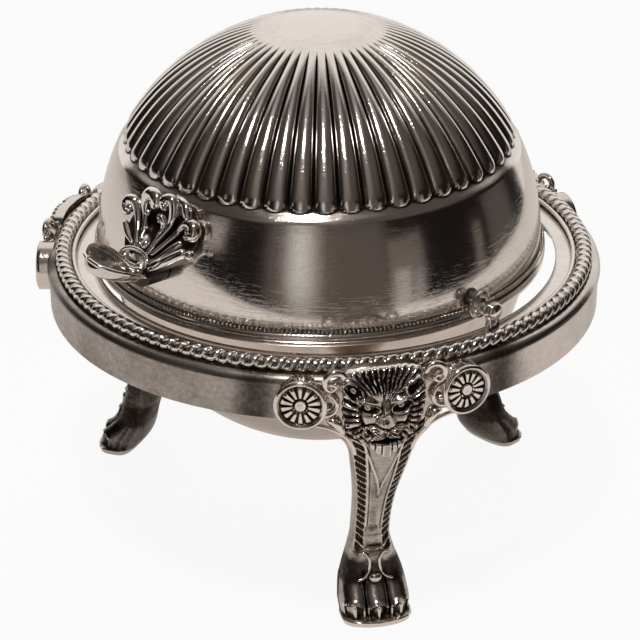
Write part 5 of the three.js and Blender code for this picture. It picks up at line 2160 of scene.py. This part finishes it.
@dataclass
class Studio(Part):
    """The pale floor, the soft light and the camera.

    Attributes:
        azimuth: Bearing of the camera in degrees.
        distance: Its distance from the aim point, in millimetres.
        elevation: Angle of the line of sight to the aim point, in degrees.
        aim: Height of the aim point.
        pitch: How much lower than that it looks, in degrees.
        yaw: How much it turns aside, in degrees.
        roll: How much it leans, in degrees.
        focal: Its focal length, in pixels of the picture.
        picture_width: Width of the picture, in pixels.
        sensor: Width of its sensor.
        floor_radius: Radius of the floor, in metres.
        paper: Colour of the floor.
        glow: How bright the floor glows.
        glow_tint: Colour of that glow in the silver.
        glow_share: The share of it in the floor that the silver reflects.
        glow_seen: How much more of it the camera sees.
        table_edges: Each edge of the pale table: its shares ahead and aside, and where it
            starts and ends, in metres.
        lamp_turn: Direction of the lamp, to the right of the camera, in degrees.
        lamp_lift: Its height over the table, in degrees.
        lamp_width: How wide it looks from the dish, in degrees.
        lamp_distance: Its distance in metres.
        lamp_aim: Height of the point that it hangs over and faces, in metres.
        lamp_power: Its power in watts.
        lamp_colour: Its colour.
        backdrop: How bright the room is behind the dish.
        ceiling: How bright its ceiling is.
        darkest: How bright its darkest walls are.
        dim_colour: Colour of the dim walls.
        bright_colour: Colour of the bright ones.
        patches: The patches of light on the walls.
    """

    azimuth: float = 48.5
    distance: float = 950.0
    elevation: float = 25.0737
    aim: float = 107.0
    pitch: float = 1.6738
    yaw: float = -0.0953
    roll: float = -0.14737
    focal: float = 2562.28
    picture_width: float = 640.0
    sensor: float = 36.0
    floor_radius: float = 4.0
    paper: Colour = (0.90, 0.875, 0.85)
    glow: float = 1.02
    glow_tint: Colour = (1.0, 0.93, 0.87)
    glow_share: float = 0.34
    glow_seen: float = 0.56
    table_edges: tuple[tuple[float, float, float, float], ...] = (
        (1.0, 0.16, 0.37, 0.382), (0.577, 0.816, 0.425, 0.45), (0.0, 1.0, 0.585, 0.60),
    )
    lamp_turn: float = -13.0
    lamp_lift: float = 68.0
    lamp_width: float = 7.5
    lamp_distance: float = 1.6
    lamp_aim: float = 0.1
    lamp_power: float = 9.0
    lamp_colour: Colour = (1.0, 0.98, 0.955)
    backdrop: float = 0.88
    ceiling: float = 0.20
    darkest: float = 0.010
    dim_colour: Colour = (1.0, 0.84, 0.75)
    bright_colour: Colour = (1.0, 0.975, 0.95)
    patches: tuple[Patch, ...] = (
        Patch((-32.0, -22.0), (40.0, 30.0), (40.0, 20.0), 0.085),  # the dim side of the room
        Patch((-21.0, -10.0), (4.0, -10.0), (38.0, 24.0), 0.50, (-30.0, 0.0)),  # the soft strip
        Patch((34.0, 37.0), (56.0, 52.0), (17.0, 13.0), 0.13, (-24.0, -19.0)),  # the window
        Patch((37.5, 38.5), (46.5, 45.0), (1.0, -2.0), 0.22, (-22.0, -19.0)),  # its left pane
        Patch((48.0, 49.0), (54.0, 53.0), (-1.0, -4.0), 0.12, (-22.0, -19.0)),  # its right pane
        Patch((-63.0, -60.0), (-48.0, -53.0), (26.0, 17.0), 0.30, (3.0, 8.0)),  # a bright corner
        Patch((84.0, 86.0), (92.0, 89.0), (6.0, 2.0), 0.14),  # the far right
        Patch((94.0, 98.0), (122.0, 114.0), (14.0, 6.0), 0.075),  # the brown far end
    )

    def build(self) -> None:
        """Builds the camera, the floor and the light."""
        self.place_camera()
        self.lay_floor()
        self.hang_lamp()
        self.light_room()
        bpy.context.scene.view_settings.view_transform = "Standard"

    @property
    def toward(self) -> Vector:
        """The level direction from the dish to the camera."""
        a = math.radians(self.azimuth)
        return Vector((math.sin(a), -math.cos(a), 0.0))

    @property
    def right(self) -> Vector:
        """The level direction to the right of the picture."""
        a = math.radians(self.azimuth)
        return Vector((math.cos(a), math.sin(a), 0.0))

    def place_camera(self) -> None:
        """Sets the camera where the photograph was taken from."""
        level = math.radians(self.elevation)
        up = Vector((0, 0, 1))
        spot = self.layout.ring.translation + self.toward * (self.distance * math.cos(level))
        spot.z = self.aim + self.distance * math.sin(level)
        down = math.radians(self.elevation + self.pitch)
        yaw = math.radians(self.yaw)
        look = (
            (-self.toward * math.cos(yaw) + self.right * math.sin(yaw)) * math.cos(down)
            - up * math.sin(down)
        )
        side = look.cross(up).normalized()
        over = side.cross(look)
        roll = math.radians(self.roll)
        side, over = (
            side * math.cos(roll) + over * math.sin(roll),
            over * math.cos(roll) - side * math.sin(roll),
        )
        data = bpy.data.cameras.new("camera")
        data.sensor_width = self.sensor
        data.lens = self.focal / self.picture_width * self.sensor
        camera = bpy.data.objects.new("camera", data)
        bpy.context.scene.collection.objects.link(camera)
        turn = Matrix((side, over, -look)).transposed().to_4x4()
        camera.matrix_world = Matrix.Translation(spot * MM) @ turn
        bpy.context.scene.camera = camera

    def lay_floor(self) -> None:
        """Lays the pale floor, which keeps the dish's shadow and ends at the table's edges."""
        mesh = bmesh.new()
        bmesh.ops.create_circle(mesh, cap_ends=True, segments=96, radius=self.floor_radius)
        data = bpy.data.meshes.new("floor")
        mesh.to_mesh(data)
        mesh.free()
        floor = bpy.data.objects.new("floor", data)
        bpy.context.scene.collection.objects.link(floor)
        made = bpy.data.materials.new("pale_floor")
        made.use_nodes = True
        sh = Shader(made.node_tree)
        spot = sh.node("ShaderNodeSeparateXYZ", None, {0: sh.node("ShaderNodeTexCoord").outputs["Object"]})
        x, y = Value(sh, spot.outputs[0]), Value(sh, spot.outputs[1])
        ahead = x * self.toward.x + y * self.toward.y
        aside = x * self.right.x + y * self.right.y
        rays = sh.node("ShaderNodeLightPath")
        seen = Value(sh, rays.outputs["Is Camera Ray"])
        on_table = 1.0
        for forward, sideways, start, end in self.table_edges:
            on_table = (ahead * forward + aside * sideways).rise(end, start) * on_table
        beyond = 1.0 - on_table
        paper = sh.node("ShaderNodeBsdfDiffuse", None, {"Color": self.paper})
        tint = sh.blend(seen, self.glow_tint, WHITE)
        glow = sh.node("ShaderNodeEmission", None, {"Color": tint, "Strength": self.glow})
        pale = sh.node(
            "ShaderNodeMixShader", None,
            {0: self.glow_share + seen * self.glow_seen, 1: paper.outputs[0], 2: glow.outputs[0]},
        )
        gone = sh.node("ShaderNodeBsdfTransparent", None, {"Color": WHITE})
        skin = sh.node(
            "ShaderNodeMixShader", None, {0: beyond * (1.0 - seen), 1: pale.outputs[0], 2: gone.outputs[0]}
        )
        sh.node("ShaderNodeOutputMaterial", None, {"Surface": skin.outputs[0]})
        data.materials.append(made)

    def hang_lamp(self) -> None:
        """Hangs the round lamp high over the front of the table."""
        turn, lift = math.radians(self.lamp_turn), math.radians(self.lamp_lift)
        level = self.toward * math.cos(turn) + self.right * math.sin(turn)
        way = level * math.cos(lift) + Vector((0, 0, 1)) * math.sin(lift)
        data = bpy.data.lights.new("lamp", "AREA")
        data.shape = "DISK"
        data.size = 2 * self.lamp_distance * math.tan(math.radians(self.lamp_width / 2))
        data.energy = self.lamp_power
        data.color = self.lamp_colour
        lamp = bpy.data.objects.new("lamp", data)
        bpy.context.scene.collection.objects.link(lamp)
        turned = way.to_track_quat("Z", "Y").to_matrix().to_4x4()
        spot = way * self.lamp_distance + Vector((0, 0, self.lamp_aim))
        lamp.matrix_world = Matrix.Translation(spot) @ turned

    def light_room(self) -> None:
        """Fills the room: pale behind the dish, dim and patchy in front, with a grey ceiling."""
        world = bpy.data.worlds.new("room")
        bpy.context.scene.world = world
        world.use_nodes = True
        sh = Shader(world.node_tree)
        way = sh.node(
            "ShaderNodeSeparateXYZ", None, {0: sh.node("ShaderNodeTexCoord").outputs["Generated"]}
        )
        x, y, z = (Value(sh, way.outputs[i]) for i in range(3))
        ahead = x * self.toward.x + y * self.toward.y
        aside = x * self.right.x + y * self.right.y
        turn = sh.math("ARCTAN2", aside, ahead) * (180 / math.pi)
        lift = sh.math("ARCSINE", z) * (180 / math.pi)

        over = (z * 0.30 - ahead).rise(0.45, 0.80) * z.rise(0.35, 0.60)
        low = (0.0 - ahead).rise(0.655, 0.715)
        behind = sh.math("MAXIMUM", over, low)
        ceiling = z.rise(0.90, 0.99) * self.ceiling
        above = lift.rise(22.0, 45.0) * (
            0.17 - turn.rise(0.0, 32.0) * 0.10 - turn.rise(-20.0, -60.0) * 0.12
        )
        level = self.darkest + above
        for patch in self.patches:
            level = level + patch.shine(turn, lift)
        level = level * (1.0 - behind) + behind * self.backdrop
        level = level + ceiling * (1.0 - behind)
        rays = sh.node("ShaderNodeLightPath")
        seen = Value(sh, rays.outputs["Is Camera Ray"])
        level = level * (1.0 - seen) + seen
        colour = sh.blend(level.rise(0.03, 0.5), self.dim_colour, self.bright_colour)
        back = sh.node("ShaderNodeBackground", None, {"Color": colour, "Strength": level})
        sh.node("ShaderNodeOutputWorld", None, {"Surface": back.outputs[0]})


def main() -> None:
    """Builds the dish, then the studio."""
    logging.basicConfig(level=logging.INFO, format="%(message)s")
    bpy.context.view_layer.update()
    layout = Layout.read()
    parts: list[Part] = [kind(layout) for kind in (RingFrame, Dome, Handle, Bowl, Pivots, Inserts)]
    parts += [
        Leg(layout, "right", 60.0, 1.0, 0.0),
        Leg(layout, "left", -60.0, -15.0, 3.5),
        Leg(layout, "back", 182.0, -12.0, -4.0),
        Studio(layout),
    ]
    for part in parts:
        log.info("building %s", type(part).__name__)
        part.build()


if __name__ == "__main__":
    main()
